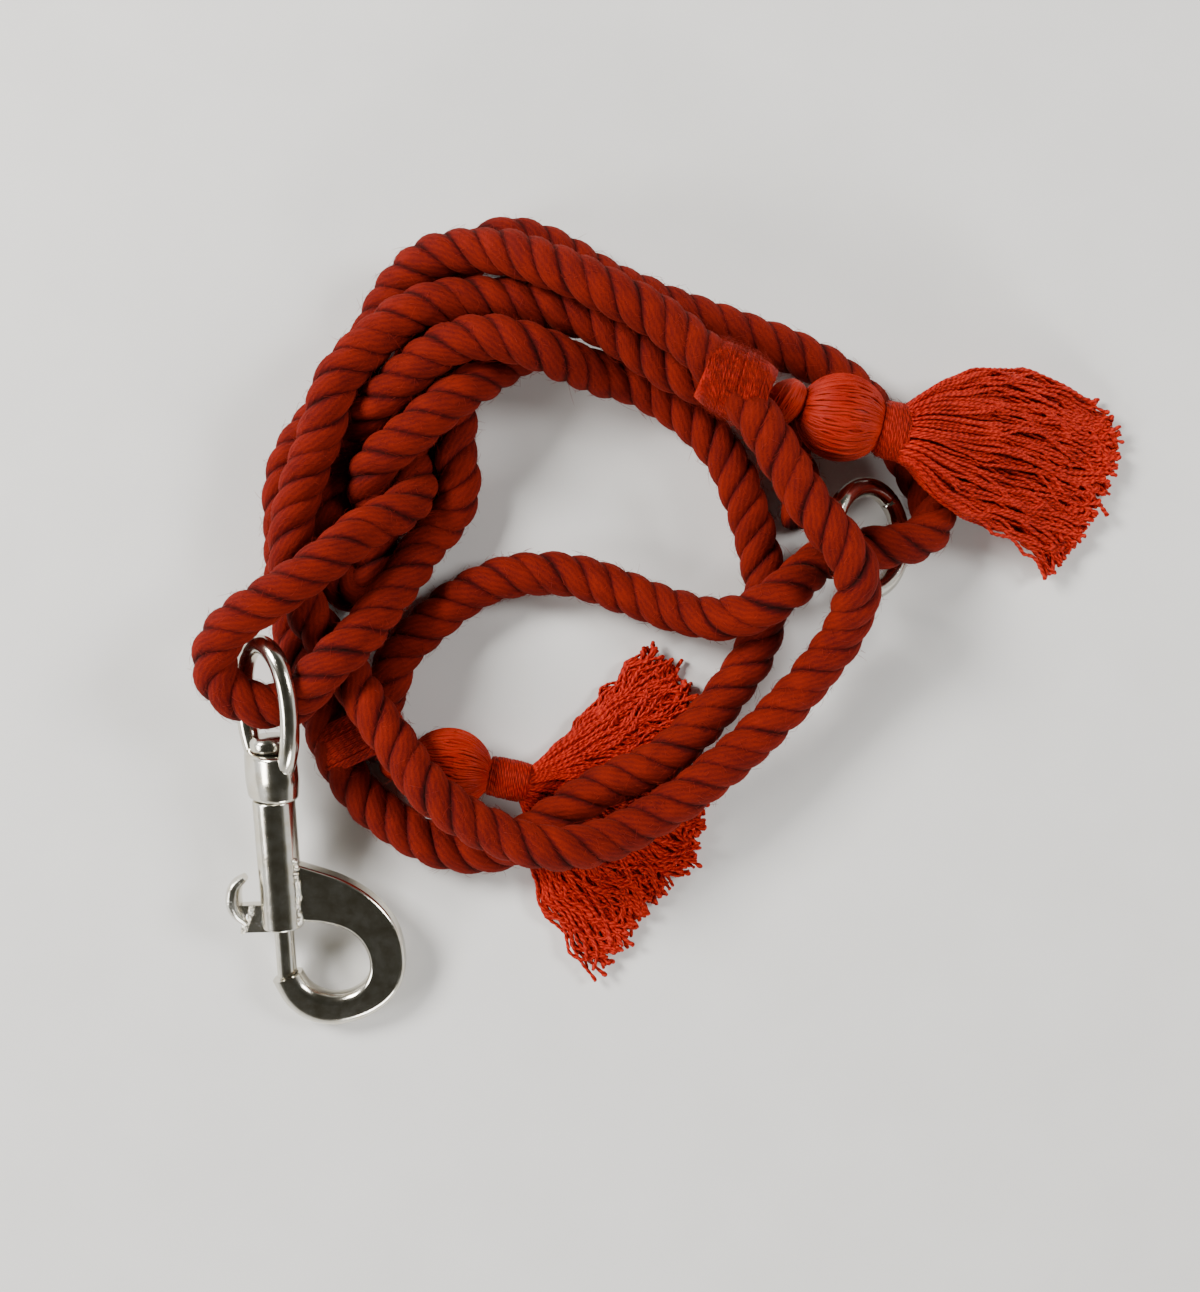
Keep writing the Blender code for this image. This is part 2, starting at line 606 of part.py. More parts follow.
def make_tassels(line):
    # Handle tassel, over the back run
    lay = math.radians(-14)
    step = np.array([math.cos(lay), math.sin(lay)])
    knot = np.array([0.0436, 0.0575])
    ball("handle_tassel_knot", oval(0.0040, -0.0037, 0.0037), 28, (0.0056, 1, 0.0052), (*knot, 0.0215), lay)
    head = knot + step * 0.0140
    ball("handle_tassel_head", oval(0.0105, -0.0099, 0.0092), 36, (0.0102, 1, 0.0098), (*head, 0.0196), lay)
    neck = head + step * 0.0127
    band = [
        (0, -0.0032), (0.0062, -0.0032), (0.0070, -0.0024),
        (0.0070, 0.0024), (0.0062, 0.0032), (0, 0.0032),
    ]
    ball("handle_tassel_neck", band, 32, (1, 1, 1), (*neck, 0.0188), lay)
    hub = neck + step * 0.0035
    rays = [
        (58, 7), (38, 18), (22, 36), (9, 54), (-3, 60), (-18, 59),
        (-32, 56), (-43, 50), (-52, 26), (-64, 12), (-76, 6),
    ]

    def skirt_bottom(x, y, r):
        fall = 0.0135 * max(0.0, 1 - (r / 0.036) ** 1.5)
        return max(0.0004, fall, over_rope(line, x, y))

    def skirt_top(x, y, r):
        return 0.0245 * max(0.0, 1 - r / 0.052) ** 1.1 + 0.0042

    fan("handle_tassel_skirt", hub, rays, skirt_top, skirt_bottom)

    # Snap tassel, under the coil
    lay = math.radians(-12)
    step = np.array([math.cos(lay), math.sin(lay)])
    knot = np.array([-0.0504, -0.0292])
    ball("snap_tassel_knot", oval(0.0038, -0.0035, 0.0035), 28, (0.0040, 1, 0.0040), (*knot, 0.0044), lay)
    head = np.array([-0.0367, -0.0298])
    ball("snap_tassel_head", oval(0.0102, -0.0098, 0.0092), 36, (0.0096, 1, 0.0084), (*head, 0.0086), lay)
    neck = head + step * 0.0146
    band = [
        (0, -0.0050), (0.0046, -0.0050), (0.0052, -0.0042),
        (0.0052, 0.0042), (0.0046, 0.0050), (0, 0.0050),
    ]
    ball("snap_tassel_neck", band, 32, (1, 1, 1), (*neck, 0.0054), lay)
    hub = neck + step * 0.0053
    rays = [
        (62, 14), (44, 34), (36, 46), (29, 47), (12, 42), (-8, 42),
        (-24, 42), (-42, 48), (-56, 52), (-68, 40), (-84, 22), (-98, 12),
    ]

    def flat_top(x, y, r):
        return min(0.0032 + 0.0040 * math.exp(-r / 0.006), under_rope(line, x, y))

    fan("snap_tassel_skirt", hub, rays, flat_top, lambda x, y, r: 0.0004)


def main():
    clear_scene()
    line = make_rope()
    make_snap()
    make_ring()
    make_whipping("handle_whipping", HANDLE_WHIP)
    make_whipping("snap_whipping", SNAP_WHIP)
    make_tassels(line)
    for obj in bpy.data.objects:
        if obj.parent is None:
            obj.location.x -= MIDDLE[0]
            obj.location.y -= MIDDLE[1]


main()
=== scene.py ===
import math

import bmesh
import bpy
import numpy as np
from mathutils import Euler, Matrix, Vector


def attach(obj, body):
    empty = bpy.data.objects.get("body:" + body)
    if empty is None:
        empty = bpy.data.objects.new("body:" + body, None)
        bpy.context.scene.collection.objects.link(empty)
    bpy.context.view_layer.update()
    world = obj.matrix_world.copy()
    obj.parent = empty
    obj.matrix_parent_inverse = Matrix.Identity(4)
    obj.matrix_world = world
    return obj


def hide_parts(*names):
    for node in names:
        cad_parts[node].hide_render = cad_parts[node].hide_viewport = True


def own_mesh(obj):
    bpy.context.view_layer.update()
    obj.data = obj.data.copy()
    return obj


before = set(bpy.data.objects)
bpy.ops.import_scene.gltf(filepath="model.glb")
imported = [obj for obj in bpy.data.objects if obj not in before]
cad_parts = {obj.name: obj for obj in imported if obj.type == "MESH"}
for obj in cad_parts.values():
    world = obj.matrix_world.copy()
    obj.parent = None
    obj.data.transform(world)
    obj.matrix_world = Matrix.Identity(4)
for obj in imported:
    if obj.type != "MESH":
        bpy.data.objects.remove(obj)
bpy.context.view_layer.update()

# The CAD's own figures, in metres
MIDDLE = np.array([0.018795, 0.005770, 0])
ROPE_SPACING = 0.0113
FLOOR_Z = 0.0056
SNAP_AT = (-0.0784 - MIDDLE[0], -0.0366 - MIDDLE[1], 0.0147)
SNAP_TURN = Euler((math.radians(12), 0, math.radians(1.8)), "XYZ")
EYE_TILT = math.radians(-46)
RING_AT = (0.0649 - MIDDLE[0], 0.0260 - MIDDLE[1], 0.01075)
RING_TILT = math.radians(40)

# Rope: three strands laid right-handed
STRAND_R = 0.00330
STRAND_OUT = 0.00235
LAY = 0.0200
ROPE_STEP = 0.0008

# Thread gauges, and the heights that keep fibres, threads and strands off the floor
WOUND_GAUGE = 0.00062
HEAD_GAUGE = 0.00066
SKIRT_GAUGE = 0.00084
FIBRE_FLOOR = 0.00002
THREAD_FLOOR = 0.00005
ROPE_FLOOR = 0.0001

# The rope's route in millimetres, as in the CAD, from its loose end to the snap whipping
ROUTE = [
    # loose end and first pass through the handle whipping
    (50, 31, 5.6), (49, 40, 5.6), (45.5, 50, 6.5), (38, 58.5, 13.5), (19, 65, 16), (1.5, 76, 17),
    (-16, 81.5, 16.5), (-33.5, 83, 17), (-45.5, 78.5, 18.5), (-55.5, 69, 17.5), (-63.5, 56, 18),
    (-70.5, 40.5, 17), (-74, 20, 17), (-68, 4, 14), (-61.5, -5.5, 12),
    # lower half of the handle loop, on top of the coil
    (-55, -14.5, 18.8), (-48, -24, 18.5), (-39.5, -34.5, 23), (-26, -43.5, 21), (-10, -48, 20.5),
    (5, -45, 15.5), (26.5, -31.5, 14.5), (47, -12, 13.5), (58.5, 4.5, 17.5), (59.5, 18, 26.8),
    (48.5, 33, 27),
    # outer turn
    (34, 56.5, 27), (17, 74, 25.5), (-3, 84.5, 26), (-21, 92, 21.5), (-37, 92.5, 15.5), (-49, 84.5, 8.5),
    (-59.5, 69, 5.6), (-71.5, 47, 5.6), (-77, 23, 5.6), (-75.5, 5, 5.6), (-69.5, -10.5, 5.6),
    (-66.5, -23.5, 5.6), (-56, -39.5, 5.6), (-37, -50, 5.6), (-24.5, -50, 6.5),
    # inner turn
    (-13.5, -43.5, 10), (-3, -36, 10.5), (16.5, -26.5, 9.6), (33.5, -8.5, 6.6), (41, 7.5, 5.6),
    (38, 27.5, 5.6), (28.5, 50, 5.6), (10.5, 63.5, 6.5), (-2.5, 67, 12), (-14, 70.5, 21),
    (-30, 72, 19.5), (-44.5, 64.5, 17), (-53, 56, 10.5), (-60.3, 45, 5.6), (-65, 33, 5.6),
    # hidden bight and the run back over the legs
    (-66, 19.5, 5.6), (-60.3, 12, 5.6), (-54.5, 18.5, 5.6), (-54.6, 30.5, 5.6), (-54, 40, 9.5),
    (-49.5, 48, 16.5), (-40, 58, 17), (-28, 67.5, 12), (-16, 74.5, 6.2), (-10, 81.5, 5.6),
    (-18.5, 87.5, 5.6), (-28, 79.5, 5.6), (-35.5, 64, 5.6), (-38, 47, 5.6),
    # lower leg, the bight in the snap's eye, upper leg
    (-41, 31, 5.6), (-47, 20, 10.5), (-56.5, 2.5, 19.5), (-64.5, -7, 21), (-71.5, -12.8, 17.4),
    (-79.5, -14.2, 19.4), (-86.8, -11.4, 21.8), (-91, -4.5, 23.3), (-85.5, 5, 26.3), (-73, 13, 28),
    (-60, 23.5, 24), (-52.5, 32, 16), (-49, 40, 8),
    # back run behind the coil, through the ring and across the middle
    (-49.2, 51, 5.6), (-46.5, 67, 5.6), (-41, 83, 5.6), (-34, 94.5, 5.6), (-23, 100.5, 5.6), (-11, 97, 5.6),
    (0, 90.5, 5.6), (20, 82, 5.6), (39, 75.5, 5.6), (54.5, 69, 5.6), (66, 59.5, 5.6), (78.5, 41, 5.6),
    (82.5, 31, 6), (76.5, 25.4, 11), (64, 23.5, 10), (53, 20.5, 9.6), (43.5, 12.5, 16.5), (31.5, 6.5, 14),
    (14.5, 10, 6.5), (-7.5, 17.5, 5.6), (-28, 15.5, 5.6), (-39.5, 7.5, 5.6), (-49, -1.5, 5.6),
    (-55, -9, 5.6), (-56.5, -17, 5.6), (-53.5, -25, 5.6),
]

rng = np.random.default_rng(11)


# ---------------------------------------------------------------- lines

def along(line):
    return np.concatenate([[0], np.cumsum(np.linalg.norm(np.diff(line, axis=0), axis=1))])


def resample(line, step):
    far = along(line)
    want = np.linspace(0, far[-1], int(round(far[-1] / step)) + 1)
    return np.column_stack([np.interp(want, far, line[:, k]) for k in range(3)])


def smooth_curve(points, step):
    """A centripetal Catmull-Rom curve through the points, as samples an even step apart."""
    pts = np.vstack([2 * points[0] - points[1], points, 2 * points[-1] - points[-2]])
    out = []
    for i in range(1, len(pts) - 2):
        p = pts[i - 1 : i + 3]
        t = np.concatenate([[0], np.cumsum(np.linalg.norm(np.diff(p, axis=0), axis=1) ** 0.5)])
        u = np.linspace(t[1], t[2], 24, endpoint=False)[:, None]
        a = [
            (t[k + 1] - u) / (t[k + 1] - t[k]) * p[k] + (u - t[k]) / (t[k + 1] - t[k]) * p[k + 1]
            for k in range(3)
        ]
        b = [
            (t[k + 2] - u) / (t[k + 2] - t[k]) * a[k] + (u - t[k]) / (t[k + 2] - t[k]) * a[k + 1]
            for k in range(2)
        ]
        out.append((t[2] - u) / (t[2] - t[1]) * b[0] + (u - t[1]) / (t[2] - t[1]) * b[1])
    return resample(np.vstack([*out, pts[-2][None]]), step)


def settle(line, rounds=240):
    """Eases passes that lie too close apart until each keeps the rope's spacing."""
    same_pass = 0.024
    most_move = 0.0004
    start = line.copy()
    count = len(line)
    far = along(line)
    near_self = np.abs(far[:, None] - far[None]) < same_pass
    for turn in range(rounds):
        if turn % 12 == 0:
            gap = np.linalg.norm(line[:, None] - line[None], axis=2)
            gap[near_self] = 1
            i, j = np.nonzero(gap < ROPE_SPACING + 0.002)
        apart = line[i] - line[j]
        size = np.linalg.norm(apart, axis=1)
        push = apart * (np.maximum(0, ROPE_SPACING - size) / size * 0.5)[:, None]
        hits = np.maximum(1, np.bincount(i[size < ROPE_SPACING], minlength=count))
        move = np.column_stack([np.bincount(i, push[:, k], count) for k in range(3)])
        move = move / hits[:, None]
        bend = np.zeros_like(line)
        bend[2:-2] = -(line[:-4] - 4 * line[1:-3] + 6 * line[2:-2] - 4 * line[3:-1] + line[4:])
        move += 0.02 * bend + 0.004 * (start - line)
        line = line + np.clip(move, -most_move, most_move)
        line[:, 2] = np.maximum(line[:, 2], FLOOR_Z)
    return line


def unit(v):
    return v / np.maximum(np.linalg.norm(v, axis=-1, keepdims=True), 1e-12)


def frames(line):
    """Directions along the line and two square to it that don't twist, at each sample."""
    way = unit(np.gradient(line, axis=0))
    side = np.zeros_like(line)
    first = np.array([0, 0, 1.0]) if abs(way[0, 2]) < 0.9 else np.array([1.0, 0, 0])
    side[0] = unit(first - way[0] * (first @ way[0]))
    for k in range(1, len(line)):
        v = side[k - 1] - way[k] * (side[k - 1] @ way[k])
        side[k] = v / np.linalg.norm(v)
    return way, side, np.cross(way, side)


def wander(count, step, reach):
    """A smooth random walk of unit size, which turns over about `reach`, in the unit of step."""
    knots = max(4, int(count * step / reach) + 4)
    values = rng.normal(0, 1, knots)
    x = np.linspace(0, knots - 1.001, count)
    k = np.minimum(x.astype(int), knots - 2)
    f = x - k
    f = f * f * (3 - 2 * f)
    return values[k] * (1 - f) + values[k + 1] * f


# ---------------------------------------------------------------- meshes

class Pile:
    """Tubes gathered into one mesh, with a UV map: u in centimetres along, v from 0 to 1 around."""

    def __init__(self):
        self.verts = []
        self.faces = []
        self.uvs = []
        self.count = 0

    def grid(self, points, u, v):
        """A sheet of points, rows by columns, whose last column joins its first."""
        rows, sides = points.shape[:2]
        index = self.count + np.arange(rows * sides).reshape(rows, sides)
        right = np.roll(index, -1, axis=1)
        quads = np.stack([index[:-1], right[:-1], right[1:], index[1:]], axis=-1).reshape(-1, 4)
        v2 = v + 1 / sides
        low, high = u[:-1, None], u[1:, None]
        size = (rows - 1, sides)
        cells = [
            np.stack([np.broadcast_to(a, size), np.broadcast_to(b[None], size)], -1)
            for a, b in ((low, v), (low, v2), (high, v2), (high, v))
        ]
        self.verts.append(points.reshape(-1, 3))
        self.faces.append(quads)
        self.uvs.append(np.stack(cells, axis=2).reshape(-1, 4, 2))
        self.count += rows * sides

    def tube(self, line, radius, sides=8, u0=0.0, frame_of=None, lobes=0, twist=0.0,
             depth=0.0, flat=0.0):
        """A round, lobed or outward flattened tube along a line, closed to rounded ends."""
        count = len(line)
        way, side, up = frame_of or frames(line)
        radius = np.broadcast_to(np.asarray(radius, float), (count,)).copy()
        far = along(line)
        angle = 2 * math.pi * np.arange(sides) / sides
        r = radius[:, None] * np.ones(sides)
        if flat:
            r = r * (1 - flat * np.maximum(0, np.cos(angle)) ** 2)
        if lobes:
            start = rng.uniform(0, 2 * math.pi)
            r = r * (1 + depth * np.cos(lobes * (angle[None] - twist * far[:, None]) + start))
        points = (
            line[:, None]
            + (r * np.cos(angle))[..., None] * side[:, None]
            + (r * np.sin(angle))[..., None] * up[:, None]
        )
        head = []
        tail = []
        for share, out in ((0.02, 0.55), (0.62, 0.40)):
            head.append(line[0] - way[0] * radius[0] * out + (points[0] - line[0]) * share)
        for share, out in ((0.62, 0.40), (0.02, 0.55)):
            tail.append(line[-1] + way[-1] * radius[-1] * out + (points[-1] - line[-1]) * share)
        points = np.concatenate([np.array(head), points, np.array(tail)])
        ends = far[-1] + 0.0002, far[-1] + 0.0004
        u = np.concatenate([[-0.0004, -0.0002], far, ends]) * 100 + u0
        self.grid(points, u, np.arange(sides) / sides)

    def lift(self, floor):
        """Raises every point to the floor height given."""
        for block in self.verts:
            block[:, 2] = np.maximum(block[:, 2], floor)

    def object(self, name, mat):
        verts = np.vstack(self.verts)
        faces = np.vstack(self.faces)
        mesh = bpy.data.meshes.new(name)
        mesh.vertices.add(len(verts))
        mesh.vertices.foreach_set("co", verts.astype(np.float32).ravel())
        mesh.loops.add(faces.size)
        mesh.loops.foreach_set("vertex_index", faces.astype(np.int32).ravel())
        mesh.polygons.add(len(faces))
        mesh.polygons.foreach_set("loop_start", np.arange(0, faces.size, 4, dtype=np.int32))
        mesh.polygons.foreach_set("use_smooth", np.ones(len(faces), bool))
        layer = mesh.uv_layers.new(name="UVMap")
        layer.data.foreach_set("uv", np.vstack(self.uvs).astype(np.float32).ravel())
        mesh.materials.append(mat)
        mesh.update(calc_edges=True)
        obj = bpy.data.objects.new(name, mesh)
        bpy.context.scene.collection.objects.link(obj)
        return obj


def fuzz(pile, at, out, way, count, length, lift, radius=0.00004):
    """Stray fibres that start on a surface and curl away from it."""
    pick = rng.integers(0, len(at), count)
    turn = rng.normal(0, 0.9, count)
    for n, k in enumerate(pick):
        across = np.cross(out[k], way[k])
        go = unit(way[k] * math.cos(turn[n]) + across * math.sin(turn[n])) * rng.choice([-1, 1])
        size = length * rng.uniform(0.5, 1.4)
        high = lift * rng.uniform(0.3, 1.5)
        bend = rng.normal(0, 0.35)
        t = np.linspace(0, 1, 5)[:, None]
        line = at[k] + go * size * t + across * bend * size * t**2
        line = line + out[k] * (high * (t * 1.6 - 0.9 * t**2))
        pile.tube(line, radius * np.array([1, 1, 0.9, 0.7, 0.4]), 3)


# ---------------------------------------------------------------- materials

class Nodes:
    """Short names for building a material's node tree."""

    def __init__(self, name):
        self.mat = bpy.data.materials.new(name)
        self.mat.use_nodes = True
        self.tree = self.mat.node_tree
        self.shader = self.tree.nodes["Principled BSDF"]

    def new(self, kind, **values):
        node = self.tree.nodes.new(kind)
        for key, value in values.items():
            setattr(node, key, value)
        return node

    def link(self, a, b):
        self.tree.links.new(a, b)

    def coords(self):
        return self.new("ShaderNodeTexCoord").outputs["Object"]

    def stretched(self, vector, scale):
        node = self.new("ShaderNodeMapping")
        node.inputs["Scale"].default_value = scale
        self.link(vector, node.inputs["Vector"])
        return node.outputs["Vector"]

    def noise(self, vector, scale, detail=3.0, roughness=0.55):
        node = self.new("ShaderNodeTexNoise")
        node.inputs["Scale"].default_value = scale
        node.inputs["Detail"].default_value = detail
        node.inputs["Roughness"].default_value = roughness
        self.link(vector, node.inputs["Vector"])
        return node.outputs["Fac"]

    def math(self, operation, a, b=None):
        node = self.new("ShaderNodeMath", operation=operation)
        for socket, value in zip(node.inputs, (a, b)):
            if value is None:
                continue
            if isinstance(value, (int, float)):
                socket.default_value = value
            else:
                self.link(value, socket)
        return node.outputs[0]

    def ramp(self, factor, stops):
        node = self.new("ShaderNodeValToRGB")
        ramp = node.color_ramp
        while len(ramp.elements) < len(stops):
            ramp.elements.new(0.5)
        for element, (at, colour) in zip(ramp.elements, stops):
            element.position = at
            element.color = (*colour, 1)
        self.link(factor, node.inputs["Fac"])
        return node.outputs["Color"]

    def bump(self, height, strength, distance):
        node = self.new("ShaderNodeBump")
        node.inputs["Strength"].default_value = strength
        node.inputs["Distance"].default_value = distance
        self.link(height, node.inputs["Height"])
        return node.outputs["Normal"]


def cotton(name, dark, middle, light, yarns, slant, rough=0.86, sheen=0.12, distance=0.00035,
           crease_shade=0.0, ridges=0.30):
    """Dyed cotton yarn: ridges that follow the UV map, uneven dye, painted shade darkening the creases, and
    a soft nap.
    """
    n = Nodes(name)
    uv = n.new("ShaderNodeUVMap", uv_map="UVMap").outputs["UV"]
    split = n.new("ShaderNodeSeparateXYZ")
    n.link(uv, split.inputs[0])
    place = n.coords()
    wobble = n.noise(place, 420, 2.0)
    around = n.math("MULTIPLY", split.outputs["Y"], yarns)
    phase = n.math("ADD", around, n.math("MULTIPLY", split.outputs["X"], slant))
    phase = n.math("ADD", phase, n.math("MULTIPLY", wobble, 1.1))
    ridge = n.math("SINE", n.math("MULTIPLY", phase, 2 * math.pi))
    ridge = n.math("MULTIPLY_ADD", ridge, 0.5)
    ridge.node.inputs[2].default_value = 0.5
    fine = n.noise(n.stretched(uv, (2.2, 60, 1)), 1.0, 4.0, 0.7)
    fleck = n.noise(place, 2600, 3.0, 0.7)
    patch = n.noise(place, 130, 2.0)
    tone = n.math("MULTIPLY", ridge, ridges)
    tone = n.math("ADD", tone, n.math("MULTIPLY", fine, 0.28))
    tone = n.math("ADD", tone, n.math("MULTIPLY", fleck, 0.30))
    tone = n.math("ADD", tone, n.math("MULTIPLY", patch, 0.34))
    tone = n.math("ADD", tone, 0.26 - ridges)
    if crease_shade:
        # Painted shade: the colour darkens towards each strand's flanks, where the strands meet in the
        # creases
        facing = n.math("COSINE", n.math("MULTIPLY", split.outputs["Y"], 2 * math.pi))
        inside = n.new("ShaderNodeMapRange", interpolation_type="SMOOTHSTEP")
        inside.inputs["From Min"].default_value = 0.13
        inside.inputs["From Max"].default_value = 0.86
        inside.inputs["To Min"].default_value = -crease_shade
        inside.inputs["To Max"].default_value = 0.0
        n.link(facing, inside.inputs["Value"])
        tone = n.math("ADD", tone, inside.outputs["Result"])
    colour = n.ramp(tone, [(0.26, dark), (0.52, middle), (0.84, light)])
    n.link(colour, n.shader.inputs["Base Color"])
    height = n.math("ADD", n.math("MULTIPLY", ridge, ridges * 2.5), n.math("MULTIPLY", fine, 0.6))
    height = n.math("ADD", height, n.math("MULTIPLY", fleck, 0.35))
    n.link(n.bump(height, 0.75, distance), n.shader.inputs["Normal"])
    rough_out = n.math("MULTIPLY_ADD", fine, 0.16)
    rough_out.node.inputs[2].default_value = rough - 0.10
    n.link(rough_out, n.shader.inputs["Roughness"])
    n.shader.inputs["Sheen Weight"].default_value = sheen
    n.shader.inputs["Sheen Roughness"].default_value = 0.45
    n.shader.inputs["Sheen Tint"].default_value = (1.0, 0.22, 0.10, 1)
    n.shader.inputs["Specular IOR Level"].default_value = 0.10
    return n.mat


def nickel(name, colour, rough, cast=0.0):
    """Polished plate with faint ripples, hazy patches and small pits, over a casting where asked."""
    n = Nodes(name)
    place = n.coords()
    n.shader.inputs["Metallic"].default_value = 1
    ripple = n.noise(place, 90, 2.0)
    haze = n.noise(place, 300, 5.0, 0.65)
    pits = n.noise(place, 1900, 3.0, 0.6)
    dots = n.new("ShaderNodeTexVoronoi", feature="F1")
    dots.inputs["Scale"].default_value = 1100
    n.link(place, dots.inputs["Vector"])
    spot = n.math("LESS_THAN", dots.outputs["Distance"], 0.16)
    warm = tuple(c * f for c, f in zip(colour, (0.90, 0.86, 0.78)))
    tone = n.ramp(haze, [(0.35, warm), (0.6, colour)])
    n.link(tone, n.shader.inputs["Base Color"])
    wear = n.math("MULTIPLY_ADD", haze, 0.16)
    wear.node.inputs[2].default_value = rough - 0.05
    wear = n.math("ADD", wear, n.math("MULTIPLY", spot, 0.04))
    n.link(wear, n.shader.inputs["Roughness"])
    height = n.math("ADD", ripple, n.math("MULTIPLY", pits, 0.03 + cast))
    height = n.math("SUBTRACT", height, n.math("MULTIPLY", spot, 0.015 + cast))
    n.link(n.bump(height, 0.5, 0.0003), n.shader.inputs["Normal"])
    return n.mat


ROPE_DARK = (0.009, 0.0003, 0.0001)
ROPE_MIDDLE = (0.057, 0.0009, 0.0004)
ROPE_LIGHT = (0.195, 0.0088, 0.0026)
TWIST = 2 * math.pi * STRAND_OUT / LAY
ROPE_YARNS = 15
YARN_SLANT = ROPE_YARNS * TWIST / (2 * math.pi * STRAND_R * 100)
THREAD_DARK = (0.05, 0.0008, 0.0003)
# The rope's colour carries painted shade in the creases between its strands
rope_mat = cotton("rope_cotton", ROPE_DARK, ROPE_MIDDLE, ROPE_LIGHT, ROPE_YARNS, YARN_SLANT,
                  sheen=0.04, crease_shade=0.40, ridges=0.07)
thread_mat = cotton(
    "thread", (0.04, 0.0007, 0.0003), (0.29, 0.0048, 0.0014), (0.58, 0.027, 0.0068), 2, 6.0,
    rough=0.55, sheen=0.08, distance=0.00012,
)
wound_mat = cotton(
    "wound_thread", THREAD_DARK, (0.205, 0.0034, 0.0011), (0.41, 0.018, 0.0050), 2, 5.0,
    rough=0.62, sheen=0.08, distance=0.00012,
)
head_mat = cotton(
    "head_thread", THREAD_DARK, (0.185, 0.0030, 0.0009), (0.38, 0.018, 0.0045), 2, 0.6,
    rough=0.46, sheen=0.12, distance=0.00008, ridges=0.10,
)
fibre_mat = cotton(
    "fibre", (0.08, 0.002, 0.001), (0.17, 0.006, 0.0022), (0.32, 0.022, 0.008), 1, 1.0,
    rough=0.8, sheen=0.1, distance=0.00002,
)


# ---------------------------------------------------------------- camera

# Straight above the photo's middle, which lies off the object's
cam = bpy.data.cameras.new("camera")
cam.sensor_fit = "HORIZONTAL"
cam.sensor_width = 36
cam.lens = 45
cam.clip_start = 0.01
cam_obj = bpy.data.objects.new("camera", cam)
cam_obj.location = (-MIDDLE[0], -MIDDLE[1], 0.375)
bpy.context.scene.collection.objects.link(cam_obj)
bpy.context.scene.camera = cam_obj


# ---------------------------------------------------------------- rope

coarse = settle(smooth_curve(np.array(ROUTE) / 1000, 0.003)) - MIDDLE
rope_line = smooth_curve(coarse, ROPE_STEP)
rope_far = along(rope_line)
_, rope_side, rope_up = frames(rope_line)


def make_rope():
    pile = Pile()
    surface = []
    outward = []
    heading = []
    count = len(rope_line)
    for k in range(3):
        phase = 2 * math.pi * (rope_far / LAY + k / 3) + 0.10 * wander(count, ROPE_STEP, 0.018)
        out = np.cos(phase)[:, None] * rope_side + np.sin(phase)[:, None] * rope_up
        offset = STRAND_OUT * (1 + 0.035 * wander(count, ROPE_STEP, 0.012))
        line = rope_line + out * offset[:, None]
        way = unit(np.gradient(line, axis=0))
        radial = unit(out - way * np.sum(out * way, axis=1)[:, None])
        third = np.cross(way, radial)
        radius = STRAND_R * (1 + 0.025 * wander(count, ROPE_STEP, 0.009))
        pile.tube(line, radius, 28, u0=37.0 * k, frame_of=(way, radial, third), flat=0.045)
        for angle in (-1.0, -0.5, 0, 0.5, 1.0):
            direction = math.cos(angle) * radial + math.sin(angle) * third
            surface.append(line + direction * radius[:, None])
            outward.append(direction)
            heading.append(way)
    pile.lift(ROPE_FLOOR)
    rope = pile.object("rope", rope_mat)
    hairs = Pile()
    fuzz(hairs, np.vstack(surface), np.vstack(outward), np.vstack(heading), 9000, 0.0024, 0.00055)
    hairs.lift(FIBRE_FLOOR)
    return rope, hairs.object("rope_fuzz", fibre_mat)


rope, rope_fuzz = make_rope()
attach(rope, "rope")
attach(rope_fuzz, "rope")
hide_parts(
    "rope_loose_end", "rope_handle_loop_top", "rope_handle_loop_bottom", "rope_outer_turn_top",
    "rope_outer_turn_bottom", "rope_inner_turn_bottom", "rope_inner_turn_top", "rope_over_legs",
    "rope_snap_leg_lower", "rope_snap_bight", "rope_snap_leg_upper", "rope_back_run", "rope_ring_run",
    "rope_cross_run",
)


# ---------------------------------------------------------------- whippings and tassels

def over_rope(x, y):
    """The height that clears every pass of the rope near plan points, or zero."""
    reach = 0.0075
    near = np.hypot(coarse[None, :, 0] - x[:, None], coarse[None, :, 1] - y[:, None])
    dome = coarse[None, :, 2] + np.sqrt(np.maximum(0, reach**2 - near**2)) * 0.85
    return np.where(near < reach, dome, 0.0).max(axis=1)


def under_rope(x, y):
    """The height below every pass of the rope near plan points, or a metre."""
    near = np.hypot(coarse[None, :, 0] - x[:, None], coarse[None, :, 1] - y[:, None])
    dome = coarse[None, :, 2] - np.sqrt(np.maximum(0, 0.0056**2 - near**2))
    return np.where(near < 0.0065, dome, 1.0).min(axis=1) - 0.0004


def place_lines(points, centre, heading):
    """Local points, with Y along the heading in plan and Z up, in world metres."""
    c, s = math.cos(heading - math.pi / 2), math.sin(heading - math.pi / 2)
    turned = points @ np.array([[c, s, 0], [-s, c, 0], [0, 0, 1]])
    return turned + np.array(centre) - MIDDLE


